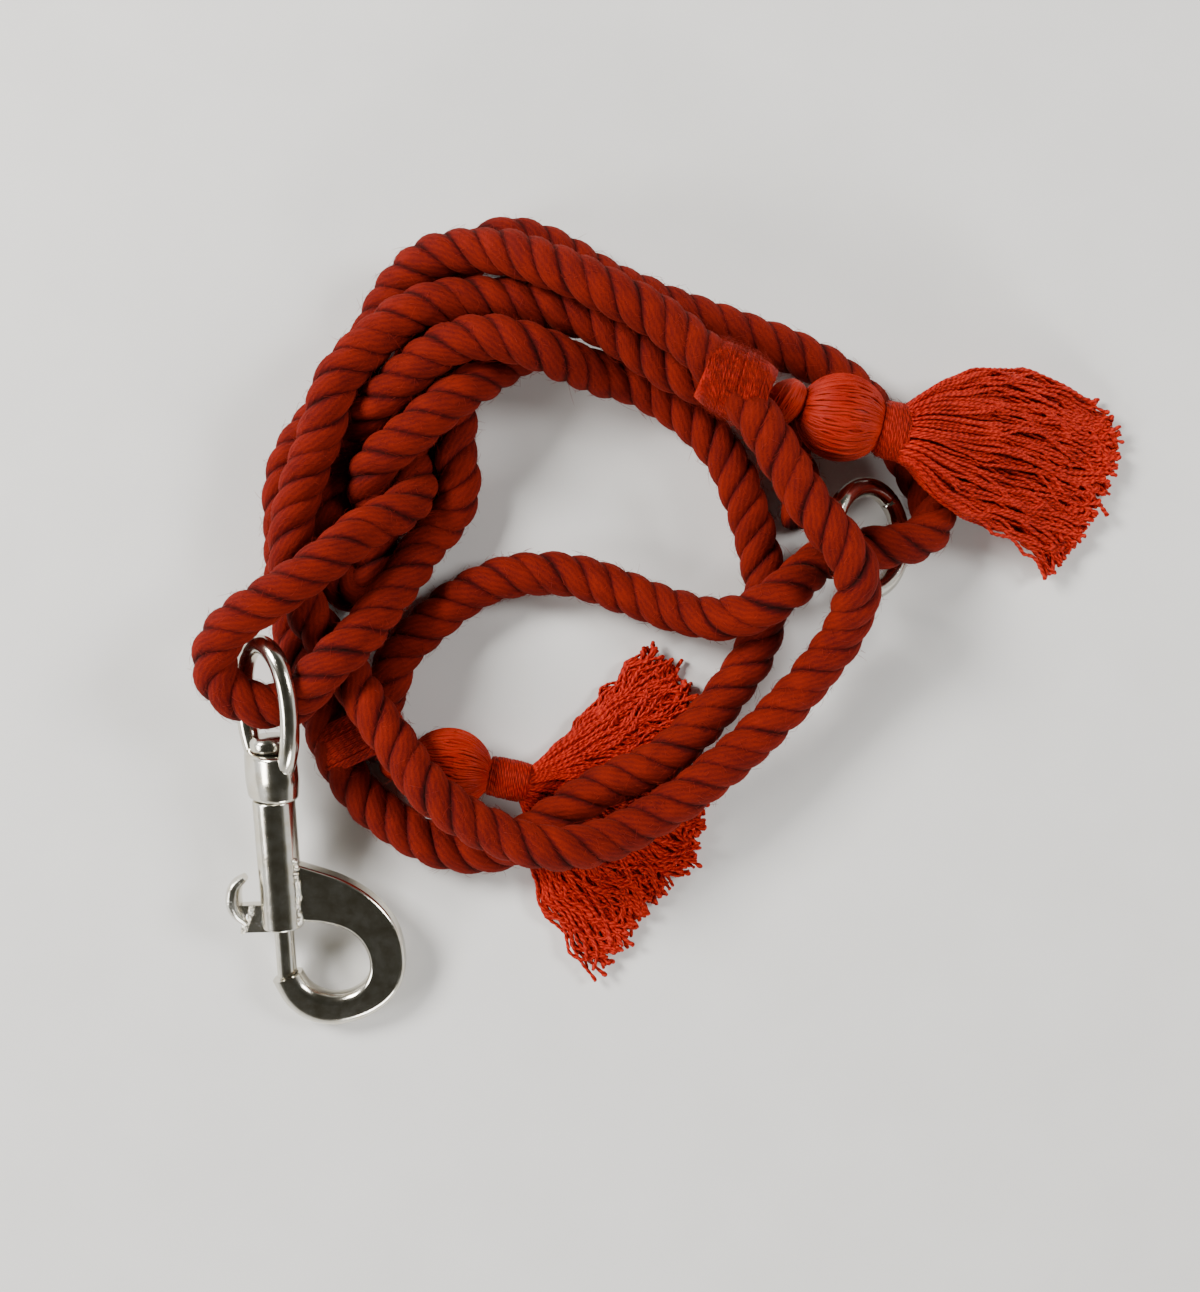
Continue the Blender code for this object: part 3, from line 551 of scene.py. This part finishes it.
def wound(centre, heading, length, half_wide, half_high, belly, slope, power=2.0):
    """Thread wound close round an oval, as one helix, with a core just inside it."""
    pile = Pile()
    gauge = WOUND_GAUGE
    turns = int(length / (gauge * 0.86))
    count = turns * 44
    t = np.linspace(0, 1, count)
    a = t * turns * 2 * math.pi
    y = (t - 0.5) * (length - gauge)
    swell = 1 - belly * np.abs(2 * t - 1) ** 3 - 0.014 * np.abs(wander(count, 1, 30))
    c, s = np.cos(a), np.sin(a)
    shape = (np.abs(c) ** power + np.abs(s) ** power) ** (-1 / power)
    x = (half_wide - gauge * 0.55) * swell * c * shape
    z = (half_high - gauge * 0.55) * swell * s * shape
    y = y + slope * half_wide * c + 0.10 * gauge * wander(count, 1, 25)
    helix = place_lines(np.column_stack([x, y, z]), centre, heading)
    pile.tube(helix, gauge * 0.56, 6, u0=rng.uniform(0, 9))
    rows = np.linspace(-0.49, 0.49, 9)
    b = 2 * math.pi * np.arange(40) / 40
    c, s = np.cos(b), np.sin(b)
    shape = (np.abs(c) ** power + np.abs(s) ** power) ** (-1 / power)
    core = []
    for k, row in enumerate([rows[0], *rows, rows[-1]]):
        share = 0.02 if k in (0, 10) else 1 - belly * abs(2 * row) ** 3
        ring = np.column_stack([
            (half_wide - gauge * 0.75) * share * c * shape,
            np.full(40, row * length),
            (half_high - gauge * 0.75) * share * s * shape,
        ])
        core.append(place_lines(ring, centre, heading))
    pile.grid(np.array(core), np.linspace(0, 1, 11), np.arange(40) / 40)
    return pile


def bundle(centre, heading, half, low, high, half_wide, half_high, gauge, swirl):
    """Threads laid side by side from pole to pole over a bulging head, with a core inside them."""
    pile = Pile()
    around = int(2 * math.pi * max(half_wide, half_high) / (gauge * 0.86))
    for k in range(around):
        a = 2 * math.pi * k / around + rng.normal(0, 0.012)
        t = np.linspace(0, 1, 30)
        y = low + (high - low) * t
        r = np.sqrt(np.maximum(0.05, 1 - (y / half) ** 2))
        turn = a + swirl * (t - 0.5) + 0.030 * wander(30, 1, 9)
        lift = 1 - gauge * 0.55 / half_wide + rng.normal(0, 0.014)
        points = np.column_stack([
            half_wide * r * lift * np.cos(turn), y, half_high * r * lift * np.sin(turn),
        ])
        line = resample(place_lines(points, centre, heading), 0.0006)
        pile.tube(line, gauge * 0.56, 6, u0=rng.uniform(0, 30))
    b = 2 * math.pi * np.arange(32) / 32
    core = []
    for k in range(15):
        y = low + (high - low) * k / 14
        share = 0.02 if k in (0, 14) else 1
        r = math.sqrt(max(0.05, 1 - (y / half) ** 2)) * (1 - gauge * 0.75 / half_wide) * share
        ring = np.column_stack([
            half_wide * r * np.cos(b), np.full(32, y * 0.985), half_high * r * np.sin(b),
        ])
        core.append(place_lines(ring, centre, heading))
    pile.grid(np.array(core), np.linspace(0, 1, 15), np.arange(32) / 32)
    return pile


def lane(guides, share):
    """A line between the guide lines, which run from one edge of the skirt to the other."""
    at = share * (len(guides) - 1)
    k = min(int(at), len(guides) - 2)
    return guides[k] * (1 - at + k) + guides[k + 1] * (at - k)


def guide_line(guide, rows):
    """A smooth plan line through the guide's points, in millimetres, as rows of world metres."""
    line = smooth_curve(np.array([(*point, 0) for point in guide]) / 1000 - MIDDLE, 0.0005)
    line = resample(line, 0.0005)
    have, want = np.linspace(0, 1, len(line)), np.linspace(0, 1, rows)
    return np.column_stack([np.interp(want, have, line[:, k]) for k in (0, 1)])


def skirt(guides, mouth, count, heights, seed):
    """The loose threads of a tassel, each from the neck's mouth to its own knotted or cut end."""
    pile = Pile()
    own = np.random.default_rng(seed)
    gauge = SKIRT_GAUGE
    curl = 0.9
    rows = 110
    guides = [guide_line(guide, rows) for guide in guides]
    hub = np.mean([g[0] for g in guides], axis=0)
    # Neighbouring threads wave together, in locks
    locks = own.normal(0, 1, (17, 2, 12))
    for n in range(count):
        share = (n * 0.6180339 + 0.31) % 1.0
        layer = own.uniform(0, 1)
        t = np.linspace(0, 1, rows)
        walk = own.normal(0, 1, 6)
        drift = 0.045 * np.interp(t, np.linspace(0, 1, 6), walk) * np.clip(t * 1.5, 0, 1)
        a = lane(guides, share)
        b = lane(guides, min(share + 0.02, 1.0))
        across = unit(b - a + 1e-9)
        wide = np.linalg.norm(guides[-1] - guides[0], axis=1)
        plan = a + across * (drift * wide)[:, None]
        end = own.uniform(0.90, 1.0) if own.uniform() < 0.82 else own.uniform(0.74, 0.92)
        keep = int(rows * end)
        plan, t = plan[:keep], t[:keep]
        far = np.concatenate([[0], np.cumsum(np.linalg.norm(np.diff(plan, axis=0), axis=1))])
        steps = max(10, int(far[-1] / 0.00052))
        want = np.linspace(0, far[-1], steps)
        plan = np.column_stack([np.interp(want, far, plan[:, k]) for k in (0, 1)])
        part = want / far[-1]
        grow = np.clip(part * 2.2, 0, 1) ** 1.2
        lock = share * 16
        k, f = int(lock), lock - int(lock)
        f = np.clip((f - 0.35) / 0.3, 0, 1)
        common = locks[k] * (1 - f) + locks[k + 1] * f
        bow = common[0, :8] + 0.45 * own.normal(0, 1, 8)
        slow = np.interp(want, np.linspace(0, far[-1], 8), bow)
        wave = np.interp(want, np.linspace(0, far[-1], 12), common[1])
        quick = np.interp(want, np.linspace(0, far[-1], 22), own.normal(0, 1, 22))
        kernel = np.array([1, 2, 3, 4, 3, 2, 1]) / 16
        quick = np.convolve(np.pad(quick, 3, mode="edge"), kernel, "valid")
        hook = own.normal(0, 1) * 0.0019 * curl * np.clip((part - 0.88) / 0.12, 0, 1) ** 2
        square = unit(np.column_stack([-np.gradient(plan[:, 1]), np.gradient(plan[:, 0])]))
        stray = (slow * 0.00048 + wave * 0.00040 + quick * 0.00016) * curl * grow + hook
        plan = plan + square * stray[:, None]
        x, y = plan[:, 0], plan[:, 1]
        bottom, top = heights(x, y, np.hypot(x - hub[0], y - hub[1]))
        lie = layer + 0.10 * np.interp(part, np.linspace(0, 1, 7), own.normal(0, 1, 7)) * grow
        z = bottom + gauge * 0.6 + np.clip(lie, 0, 1) * np.maximum(0, top - bottom - gauge)
        mix = np.clip(want / 0.008, 0, 1)
        mix = mix * mix * (3 - 2 * mix)
        rise = mouth[0] * (2 * layer - 1) * math.sqrt(max(0.05, 1 - (2 * share - 1) ** 2))
        z = (mouth[1] + rise) * (1 - mix) + z * mix
        z = np.convolve(np.pad(z, 5, mode="edge"), np.ones(11) / 11, "valid")
        z = np.maximum(z, gauge * 0.75)
        radius = gauge * 0.5 * np.ones(steps) * own.uniform(0.85, 1.1)
        if own.uniform() < 0.7:
            radius[-3:] *= (1.25, 1.5, 1.3)
        line = np.column_stack([x, y, z])
        pile.tube(line, radius, 6, lobes=2, twist=2 * math.pi / 0.0036, depth=0.26,
                  u0=own.uniform(0, 40))
    pile.lift(THREAD_FLOOR)
    return pile


def soft_piece(pile, name, mat, body, node):
    obj = pile.object(name, mat)
    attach(obj, body)
    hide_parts(node)


def nap(pile, name, body, count, length, lift):
    """Short fibres on a wound piece."""
    verts = np.vstack(pile.verts)
    centre = verts.mean(axis=0)
    pick = verts[rng.integers(0, len(verts), count * 2)]
    out = unit(pick - centre)
    keep = out[:, 2] > -0.6
    pick, out = pick[keep][:count], out[keep][:count]
    way = unit(np.cross(out, rng.normal(0, 1, out.shape)))
    hairs = Pile()
    fuzz(hairs, pick, out, way, count, length, lift)
    hairs.lift(FIBRE_FLOOR)
    obj = hairs.object(name, fibre_mat)
    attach(obj, body)


def make_handle_set():
    whipping = wound((0.0319, 0.0616, 0.0227), math.radians(-24.6), 0.016, 0.0084, 0.0109,
                     belly=0.17, slope=0.16)
    soft_piece(whipping, "handle_whipping_thread", wound_mat, "rope", "handle_whipping")
    nap(whipping, "handle_whipping_nap", "rope", 2600, 0.0024, 0.0007)

    body = "handle_tassel"
    lay = math.radians(-14)
    step = np.array([math.cos(lay), math.sin(lay)])
    at = np.array([0.0436, 0.0575])
    knot = bundle((*at, 0.0215), lay + math.radians(62), 0.0058, -0.0053, 0.0053, 0.0046, 0.0056,
                  WOUND_GAUGE, 0.5)
    soft_piece(knot, "handle_tassel_knot_threads", head_mat, body, "handle_tassel_knot")
    at = at + step * 0.0140
    head = bundle((*at, 0.0196), lay, 0.0105, -0.0099, 0.0096, 0.0103, 0.0099, HEAD_GAUGE, 0.22)
    soft_piece(head, "handle_tassel_head_threads", head_mat, body, "handle_tassel_head")
    nap(head, "handle_tassel_head_nap", body, 260, 0.0026, 0.0006)
    at = at + step * 0.0127
    neck = wound((*at, 0.0188), lay, 0.0072, 0.0070, 0.0070, belly=0.10, slope=0.03)
    soft_piece(neck, "handle_tassel_neck_thread", wound_mat, body, "handle_tassel_neck")
    nap(neck, "handle_tassel_neck_nap", body, 200, 0.0020, 0.0005)
    guides = [
        [(70, 44.5), (74, 42.5), (79, 37.5), (86, 32.5), (97, 30.5), (106, 26), (114.5, 19.5)],
        [(70, 47), (76, 45), (84, 41), (93, 38), (103, 35.5), (112, 31.5), (121, 28)],
        [(70.5, 50.5), (78, 49.5), (88, 48), (98, 46.5), (108, 44.5), (118, 41.5), (127.5, 39.5)],
        [(71.5, 54), (79, 56), (88, 56.5), (98, 56.2), (109, 54.5), (120, 52), (130, 50)],
        [(72.5, 57), (77.5, 60.5), (84, 64), (94, 66), (106, 65), (117, 61), (126.5, 56.5)],
    ]

    def heights(x, y, r):
        fall = 0.0135 * np.maximum(0, 1 - (r / 0.036) ** 1.5)
        bottom = np.maximum(np.maximum(0.0004, fall), over_rope(x, y))
        top = 0.0245 * np.maximum(0, 1 - r / 0.052) ** 1.1 + 0.0042
        return bottom, np.maximum(top, bottom + 0.0012)

    loose = skirt(guides, (0.0056, 0.0188), 640, heights, 5)
    soft_piece(loose, "handle_tassel_skirt_threads", thread_mat, body, "handle_tassel_skirt")


def make_snap_set():
    body = "rope"
    whipping = wound((-0.0592, -0.0222, 0.0062), math.radians(-66), 0.012, 0.0118, 0.0061,
                     belly=0.14, slope=0.05, power=2.2)
    soft_piece(whipping, "snap_whipping_thread", wound_mat, body, "snap_whipping")
    nap(whipping, "snap_whipping_nap", body, 1200, 0.0024, 0.0007)

    lay = math.radians(-12)
    step = np.array([math.cos(lay), math.sin(lay)])
    knot = bundle((-0.0504, -0.0292, 0.0044), lay, 0.0038, -0.0035, 0.0035, 0.0040, 0.0040,
                  WOUND_GAUGE, 0.3)
    soft_piece(knot, "snap_tassel_knot_threads", head_mat, body, "snap_tassel_knot")
    at = np.array([-0.0367, -0.0298])
    head = bundle((*at, 0.0086), lay, 0.0102, -0.0098, 0.0095, 0.0096, 0.0082, HEAD_GAUGE, 0.22)
    soft_piece(head, "snap_tassel_head_threads", head_mat, body, "snap_tassel_head")
    nap(head, "snap_tassel_head_nap", body, 260, 0.0026, 0.0006)
    at = at + step * 0.0146
    neck = wound((*at, 0.0054), lay, 0.0106, 0.0052, 0.0050, belly=0.08, slope=0.02)
    soft_piece(neck, "snap_tassel_neck_thread", wound_mat, body, "snap_tassel_neck")
    guides = [
        [(-20, -37), (-18, -44), (-16.5, -54), (-13, -63), (-6, -71), (2, -80)],
        [(-19.5, -36.2), (-13, -43), (-7, -50), (-1, -57), (4.5, -63), (9.5, -70)],
        [(-19, -35), (-10, -38), (-1, -42), (9, -47), (17, -51), (24.5, -53)],
        [(-18.6, -33.5), (-9, -33), (1, -34), (10, -36.5), (19, -39.5), (27, -42.5)],
        [(-18.3, -32), (-10, -28.5), (-1, -23.5), (8, -18), (16, -14.5), (24, -11)],
        [(-18.2, -31), (-12.5, -26.5), (-5.5, -20.5), (2, -13.5), (9, -7.5), (15.5, -1)],
    ]

    def heights(x, y, r):
        top = np.minimum(0.0036 + 0.0040 * np.exp(-r / 0.006), under_rope(x, y))
        return np.full(len(x), 0.0003), np.maximum(top, 0.0009)

    loose = skirt(guides, (0.0038, 0.0052), 560, heights, 8)
    soft_piece(loose, "snap_tassel_skirt_threads", thread_mat, body, "snap_tassel_skirt")


make_handle_set()
make_snap_set()


# ---------------------------------------------------------------- metal

def to_object(mesh, name, mat):
    bmesh.ops.recalc_face_normals(mesh, faces=mesh.faces)
    data = bpy.data.meshes.new(name)
    mesh.to_mesh(data)
    mesh.free()
    data.materials.append(mat)
    obj = bpy.data.objects.new(name, data)
    bpy.context.scene.collection.objects.link(obj)
    return obj


def turned(name, profile, mat, flat=1.0):
    """A solid turned about its local Y axis from (radius, y) pairs, which end on the axis."""
    sides = 96
    mesh = bmesh.new()
    rings = []
    for radius, y in profile:
        if radius == 0:
            rings.append([mesh.verts.new((0, y, 0))])
            continue
        ring = []
        for k in range(sides):
            a = 2 * math.pi * k / sides
            ring.append(mesh.verts.new((radius * math.cos(a), y, radius * math.sin(a) * flat)))
        rings.append(ring)
    for low, high in zip(rings, rings[1:]):
        for k in range(sides):
            n = (k + 1) % sides
            if len(low) == 1:
                mesh.faces.new((low[0], high[k], high[n]))
            elif len(high) == 1:
                mesh.faces.new((low[k], low[n], high[0]))
            else:
                mesh.faces.new((low[k], low[n], high[n], high[k]))
    return to_object(mesh, name, mat)


def loft(name, sections, mat):
    """A solid through closed sections of equal point count, capped at both ends."""
    mesh = bmesh.new()
    rings = [[mesh.verts.new(point) for point in section] for section in sections]
    sides = len(rings[0])
    for low, high in zip(rings, rings[1:]):
        for k in range(sides):
            n = (k + 1) % sides
            mesh.faces.new((low[k], low[n], high[n], high[k]))
    mesh.faces.new(rings[0])
    mesh.faces.new(list(reversed(rings[-1])))
    return to_object(mesh, name, mat)


def cube(name, low, high, mat):
    mesh = bmesh.new()
    bmesh.ops.create_cube(mesh, size=1)
    for vert in mesh.verts:
        vert.co = [(a + b) / 2 + (b - a) * v for a, b, v in zip(low, high, vert.co)]
    return to_object(mesh, name, mat)


def smooth_pairs(pairs, count):
    """Evenly read stations from a smooth curve through rows of numbers."""
    rows = np.array(pairs, float)
    t = np.linspace(0, 1, len(rows))
    tangent = np.gradient(rows, t, axis=0)
    out = []
    for x in np.linspace(0, 1, count):
        k = min(int(np.searchsorted(t, x, side="right")) - 1, len(rows) - 2)
        h = t[k + 1] - t[k]
        s = (x - t[k]) / h
        out.append(
            (2 * s**3 - 3 * s**2 + 1) * rows[k]
            + (s**3 - 2 * s**2 + s) * h * tangent[k]
            + (3 * s**2 - 2 * s**3) * rows[k + 1]
            + (s**3 - s**2) * h * tangent[k + 1]
        )
    return out


def slab_section(inner, outer, thick, corner):
    """A slab section with flat faces top and bottom and rounded edges."""
    steps = 8
    inner = Vector((*inner, 0))
    outer = Vector((*outer, 0))
    middle = (inner + outer) / 2
    half = (outer - inner).length / 2
    way = (outer - inner).normalized()
    points = []
    for quarter, (sx, sz) in enumerate([(1, 1), (-1, 1), (-1, -1), (1, -1)]):
        for k in range(steps):
            a = math.pi / 2 * (quarter + k / (steps - 1))
            x = sx * (half - corner) + corner * math.cos(a)
            z = sz * (thick / 2 - corner) + corner * math.sin(a)
            points.append(middle + way * x + Vector((0, 0, z)))
    return points


def rod_sections(path, radius):
    """Round sections along a path that lies in the local XY plane."""
    sides = 28
    path = [Vector(point) for point in path]
    sections = []
    for k, at in enumerate(path):
        way = (path[min(k + 1, len(path) - 1)] - path[max(k - 1, 0)]).normalized()
        side = Vector((way.y, -way.x, 0))
        section = []
        for s in range(sides):
            a = 2 * math.pi * s / sides
            up = Vector((0, 0, radius * math.sin(a)))
            section.append(at + side * (radius * math.cos(a)) + up)
        sections.append(section)
    return sections


def rounded(profile, radius):
    """The profile with each corner between its two ends rounded off."""
    steps = 4
    out = [profile[0]]
    for a, b, c in zip(profile, profile[1:], profile[2:]):
        b0 = Vector(b)
        back = Vector(a) - b0
        ahead = Vector(c) - b0
        size = min(radius, back.length * 0.45, ahead.length * 0.45)
        p = b0 + back.normalized() * size
        q = b0 + ahead.normalized() * size
        for k in range(steps + 1):
            t = k / steps
            v = p * (1 - t) ** 2 + b0 * 2 * t * (1 - t) + q * t**2
            out.append((v.x, v.y))
    return out + [profile[-1]]


def combine(obj, *others):
    """Applies unions and cuts, given as (operation, object), and removes the other objects."""
    for operation, other in others:
        mod = obj.modifiers.new(operation.lower(), "BOOLEAN")
        mod.operation = operation
        mod.solver = "EXACT"
        mod.object = other
    bpy.context.view_layer.update()
    graph = bpy.context.evaluated_depsgraph_get()
    mesh = bpy.data.meshes.new_from_object(obj.evaluated_get(graph))
    obj.modifiers.clear()
    obj.data = mesh
    for _, other in others:
        bpy.data.objects.remove(other, do_unlink=True)


def place_metal(obj, turn, body, node, angle=35):
    """Turns a metal piece into place, with smooth faces up to the angle between them."""
    obj.data.transform(turn)
    obj.data.polygons.foreach_set("use_smooth", np.ones(len(obj.data.polygons), bool))
    obj.data.set_sharp_from_angle(angle=math.radians(angle))
    flats = obj.modifiers.new("flats", "WEIGHTED_NORMAL")
    flats.keep_sharp = True
    flats.weight = 90
    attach(obj, body)
    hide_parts(node)


def cast_bead(name, body, x0, slant, height, reach, turn, mat):
    """A rough bead of casting metal along the snap's length, from reach[0] to reach[1]."""
    count = 90
    y = np.linspace(*reach, count)
    radius = 0.00062 * (1 + 0.30 * wander(count, 1, 3)) + 0.00012 * rng.normal(0, 1, count)
    x = x0 + 0.00028 * wander(count, 1, 4) + slant * (y - reach[0]) / (reach[1] - reach[0])
    z = height + 0.00018 * wander(count, 1, 5)
    bead = Pile()
    bead.tube(np.column_stack([x, y, z]), np.clip(radius, 0.00025, 0.001), 12)
    bead = bead.object(name, mat)
    bead.data.transform(turn)
    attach(bead, body)


def make_snap():
    snap_turn = Matrix.Translation(SNAP_AT) @ SNAP_TURN.to_matrix().to_4x4()
    eye_turn = snap_turn @ Matrix.Rotation(EYE_TILT, 4, "Y")
    plate = nickel("nickel_plate", (0.66, 0.64, 0.575), 0.14)
    rough_plate = nickel("nickel_cast", (0.74, 0.72, 0.66), 0.20, cast=0.5)
    grain = nickel("nickel_grain", (0.78, 0.76, 0.70), 0.16, cast=2.2)

    barrel = [
        (0, -0.003), (0.00275, -0.003), (0.00275, 0), (0.0051, 0), (0.0051, -0.0325), (0.0027, -0.0325),
        (0.0027, -0.0295), (0.0034, -0.0295), (0.0034, -0.0043), (0, -0.0043),
    ]
    body = turned("snap_body_plate", rounded(barrel, 0.0006), plate)
    crescent = [
        (4.2, -31, 4.2, -16.2, 5.0), (10, -31.6, 15.5, -20.6, 5.0), (15, -33.2, 22.8, -25.8, 5.0),
        (18.4, -36, 27.6, -32.6, 5.0), (20.3, -40, 29.3, -40.2, 5.0), (20.5, -44, 28.4, -47.2, 5.2),
        (18.9, -47.4, 24.6, -53, 5.5), (15.6, -49.7, 18.2, -57.1, 5.7), (11.6, -50.3, 10.6, -58.7, 5.8),
        (7.9, -49.3, 4.2, -57, 6.1), (5.2, -47.2, -0.6, -52.8, 6.5), (3.7, -44.4, -3.6, -46.6, 6.8),
    ]
    stations = smooth_pairs(crescent, 110)
    sections = []
    for k, (ix, iy, ox, oy, thick) in enumerate(stations):
        part = k / (len(stations) - 1)
        rounder = min(1, max(0, (part - 0.42) / 0.30))
        corner = thick / 1000 * (0.24 + 0.22 * rounder * rounder * (3 - 2 * rounder))
        inner, outer = (ix / 1000, iy / 1000), (ox / 1000, oy / 1000)
        sections.append(slab_section(inner, outer, thick / 1000, corner))
    hook = loft("hook", sections, plate)
    chamber = turned(
        "chamber",
        [
            (0, -0.0043), (0.0034, -0.0043), (0.0034, -0.0295), (0.0027, -0.0295), (0.0027, -0.034),
            (0, -0.034),
        ],
        plate,
    )
    slot = cube("slot", (-0.008, -0.036, -0.0018), (0, -0.0125, 0.0018), plate)
    cup = turned("cup", [(0, -0.0460), (0.0027, -0.0460), (0.0027, -0.0435), (0, -0.0435)], plate)
    combine(body, ("UNION", hook), ("DIFFERENCE", chamber), ("DIFFERENCE", slot), ("DIFFERENCE", cup))
    place_metal(body, snap_turn, "snap", "snap_body")

    stud = [
        (0, -0.0027), (0.0024, -0.0027), (0.0024, 0.0121), (0.0040, 0.0121), (0.0045, 0.0127),
        (0.0045, 0.0145), (0.0036, 0.0156), (0, 0.0158),
    ]
    stud = turned("snap_swivel_stud_plate", rounded(stud, 0.0004), plate)
    place_metal(stud, snap_turn, "snap", "snap_swivel_stud")

    collar = [
        (0, 0.0004), (0.0076, 0.0004), (0.0081, 0.0050), (0.0079, 0.0112), (0.0066, 0.0117),
        (0, 0.0117),
    ]
    eye = turned("snap_swivel_eye_plate", rounded(collar, 0.0010), plate, flat=0.68)
    half = [(-5.6, 8), (-7.6, 11.4), (-9.1, 16), (-9.7, 22), (-9.1, 28.5), (-6.9, 33.8), (-3.6, 36.8)]
    bow = half + [(0, 37.8)] + [(-x, y) for x, y in reversed(half)]
    path = [(x / 1000, y / 1000, 0) for x, y in smooth_pairs(bow, 120)]
    limb = loft("limb", rod_sections(path, 0.0023), plate)
    bore = turned("bore", [(0, -0.001), (0.00275, -0.001), (0.00275, 0.0119), (0, 0.0119)], plate)
    combine(eye, ("UNION", limb), ("DIFFERENCE", bore))
    place_metal(eye, eye_turn, "eye", "snap_swivel_eye")

    bolt = [
        (0, -0.0245), (0.0031, -0.0245), (0.0031, -0.0262), (0.0024, -0.0262), (0.0024, -0.0457),
        (0, -0.0457),
    ]
    bolt = turned("snap_bolt_plate", rounded(bolt, 0.0004), plate)
    place_metal(bolt, snap_turn, "bolt", "snap_bolt")

    low, high = (-0.0096, -0.0336, -0.0013), (-0.00275, -0.0266, 0.0013)
    arm = cube("snap_thumb_trigger_plate", low, high, rough_plate)
    arc = [(-8.4, -19.6), (-10.7, -21.6), (-11.6, -25), (-10.9, -28.6), (-8.6, -31.4)]
    sections = []
    for k, (x, y) in enumerate(smooth_pairs(arc, 40)):
        spread = 0.45 + 0.55 * math.sin(math.pi * (k + 1) / 41)
        ahead = Vector((x + 4, y + 25.5)).normalized() * (1.8 * spread / 1000)
        at = Vector((x / 1000, y / 1000))
        section = []
        for s in range(40):
            a = 2 * math.pi * (s + 0.5) / 40
            c = math.copysign(abs(math.cos(a)) ** 0.8, math.cos(a))
            z = math.copysign(abs(math.sin(a)) ** 0.8, math.sin(a))
            middle = at + ahead * c
            section.append(Vector((middle.x, middle.y, 0.0034 * spread * z)))
        sections.append(section)
    knob = loft("knob", sections, rough_plate)
    combine(arm, ("UNION", knob))
    place_metal(arm, snap_turn, "bolt", "snap_thumb_trigger")

    cast_bead("snap_cast_seam", "snap", 0.0046, 0.0, 0.0024, (-0.0312, -0.0150), snap_turn, grain)
    cast_bead("snap_trigger_grain", "bolt", -0.0098, 0.0032, 0.0012, (-0.0334, -0.0268), snap_turn, grain)

    spring = nickel("spring_wire", (0.5, 0.5, 0.5), 0.3)
    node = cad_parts["snap_spring"]
    coil = bpy.data.objects.new("snap_spring_wire", node.data.copy())
    bpy.context.scene.collection.objects.link(coil)
    coil.data.materials.clear()
    coil.data.materials.append(spring)
    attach(coil, "snap")
    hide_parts("snap_spring")
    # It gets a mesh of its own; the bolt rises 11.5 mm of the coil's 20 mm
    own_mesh(coil)


def make_ring():
    pile = Pile()
    count = 240
    a = 2 * math.pi * np.arange(count + 1) / count
    b = 2 * math.pi * np.arange(56) / 56
    seam = np.exp(-(((a - math.radians(53)) / 0.022) ** 2))
    minor = 0.0024 * (1 - 0.16 * seam)
    r = 0.0126 + minor[:, None] * np.cos(b)
    rise = minor[:, None] * np.sin(b)
    points = np.stack([r * np.cos(a)[:, None], r * np.sin(a)[:, None], rise], -1)
    pile.grid(points, a, np.arange(56) / 56)
    ring = pile.object("loose_ring_plate", nickel("ring_plate", (0.54, 0.525, 0.48), 0.12))
    turn = Matrix.Translation(RING_AT) @ Matrix.Rotation(RING_TILT, 4, "Y")
    place_metal(ring, turn, "ring", "loose_ring", angle=60)


make_snap()
make_ring()


# ---------------------------------------------------------------- floor and lights

def make_stage():
    mesh = bpy.data.meshes.new("floor")
    half = 1.2
    corners = [(-half, -half, 0), (half, -half, 0), (half, half, 0), (-half, half, 0)]
    mesh.from_pydata(corners, [], [(0, 1, 2, 3)])
    n = Nodes("paper")
    place = n.coords()
    tone = n.ramp(n.noise(place, 40, 3.0), [(0.3, (0.69, 0.68, 0.66)), (0.7, (0.72, 0.71, 0.69))])
    n.link(tone, n.shader.inputs["Base Color"])
    n.shader.inputs["Roughness"].default_value = 0.75
    mesh.materials.append(n.mat)
    floor = bpy.data.objects.new("floor", mesh)
    floor.location.z = -0.0002
    bpy.context.scene.collection.objects.link(floor)


def area_light(name, at, size, energy, colour):
    """A rectangular light that faces the origin."""
    light = bpy.data.lights.new(name, "AREA")
    light.shape = "RECTANGLE"
    light.size, light.size_y = size
    light.energy = energy
    light.color = colour
    obj = bpy.data.objects.new(name, light)
    obj.location = at
    obj.rotation_euler = (-Vector(at)).to_track_quat("-Z", "Y").to_euler()
    bpy.context.scene.collection.objects.link(obj)


def make_world():
    """White round the horizon, for bright rims on the metal, and dark overhead, for deep faces."""
    stops = [
        (0.0, (0.80, 0.80, 0.79)), (0.12, (1.10, 1.10, 1.10)), (0.30, (0.95, 0.95, 0.93)),
        (0.42, (0.20, 0.197, 0.175)), (0.60, (0.055, 0.053, 0.042)), (1.0, (0.040, 0.039, 0.030)),
    ]
    world = bpy.data.worlds.new("studio")
    world.use_nodes = True
    tree = world.node_tree
    direction = tree.nodes.new("ShaderNodeTexCoord").outputs["Generated"]
    height = tree.nodes.new("ShaderNodeSeparateXYZ")
    tree.links.new(direction, height.inputs[0])
    sky = tree.nodes.new("ShaderNodeValToRGB")
    while len(sky.color_ramp.elements) < len(stops):
        sky.color_ramp.elements.new(0.5)
    for element, (position, colour) in zip(sky.color_ramp.elements, stops):
        element.position = position
        element.color = (*colour, 1)
    tree.links.new(height.outputs["Z"], sky.inputs["Fac"])
    tree.links.new(sky.outputs["Color"], tree.nodes["Background"].inputs["Color"])
    tree.nodes["Background"].inputs["Strength"].default_value = 1.0
    bpy.context.scene.world = world


make_stage()
area_light("key", (-0.95, 0.55, 0.80), (0.50, 0.40), 33, (1.0, 0.985, 0.96))
area_light("left_low", (-1.10, -0.35, 0.60), (0.40, 0.30), 9, (1.0, 0.985, 0.965))
area_light("front_low", (0.15, -1.20, 0.52), (0.50, 0.20), 9, (1.0, 0.985, 0.965))
area_light("right", (0.98, 0.30, 0.80), (0.45, 0.35), 14, (0.995, 0.99, 0.985))
make_world()
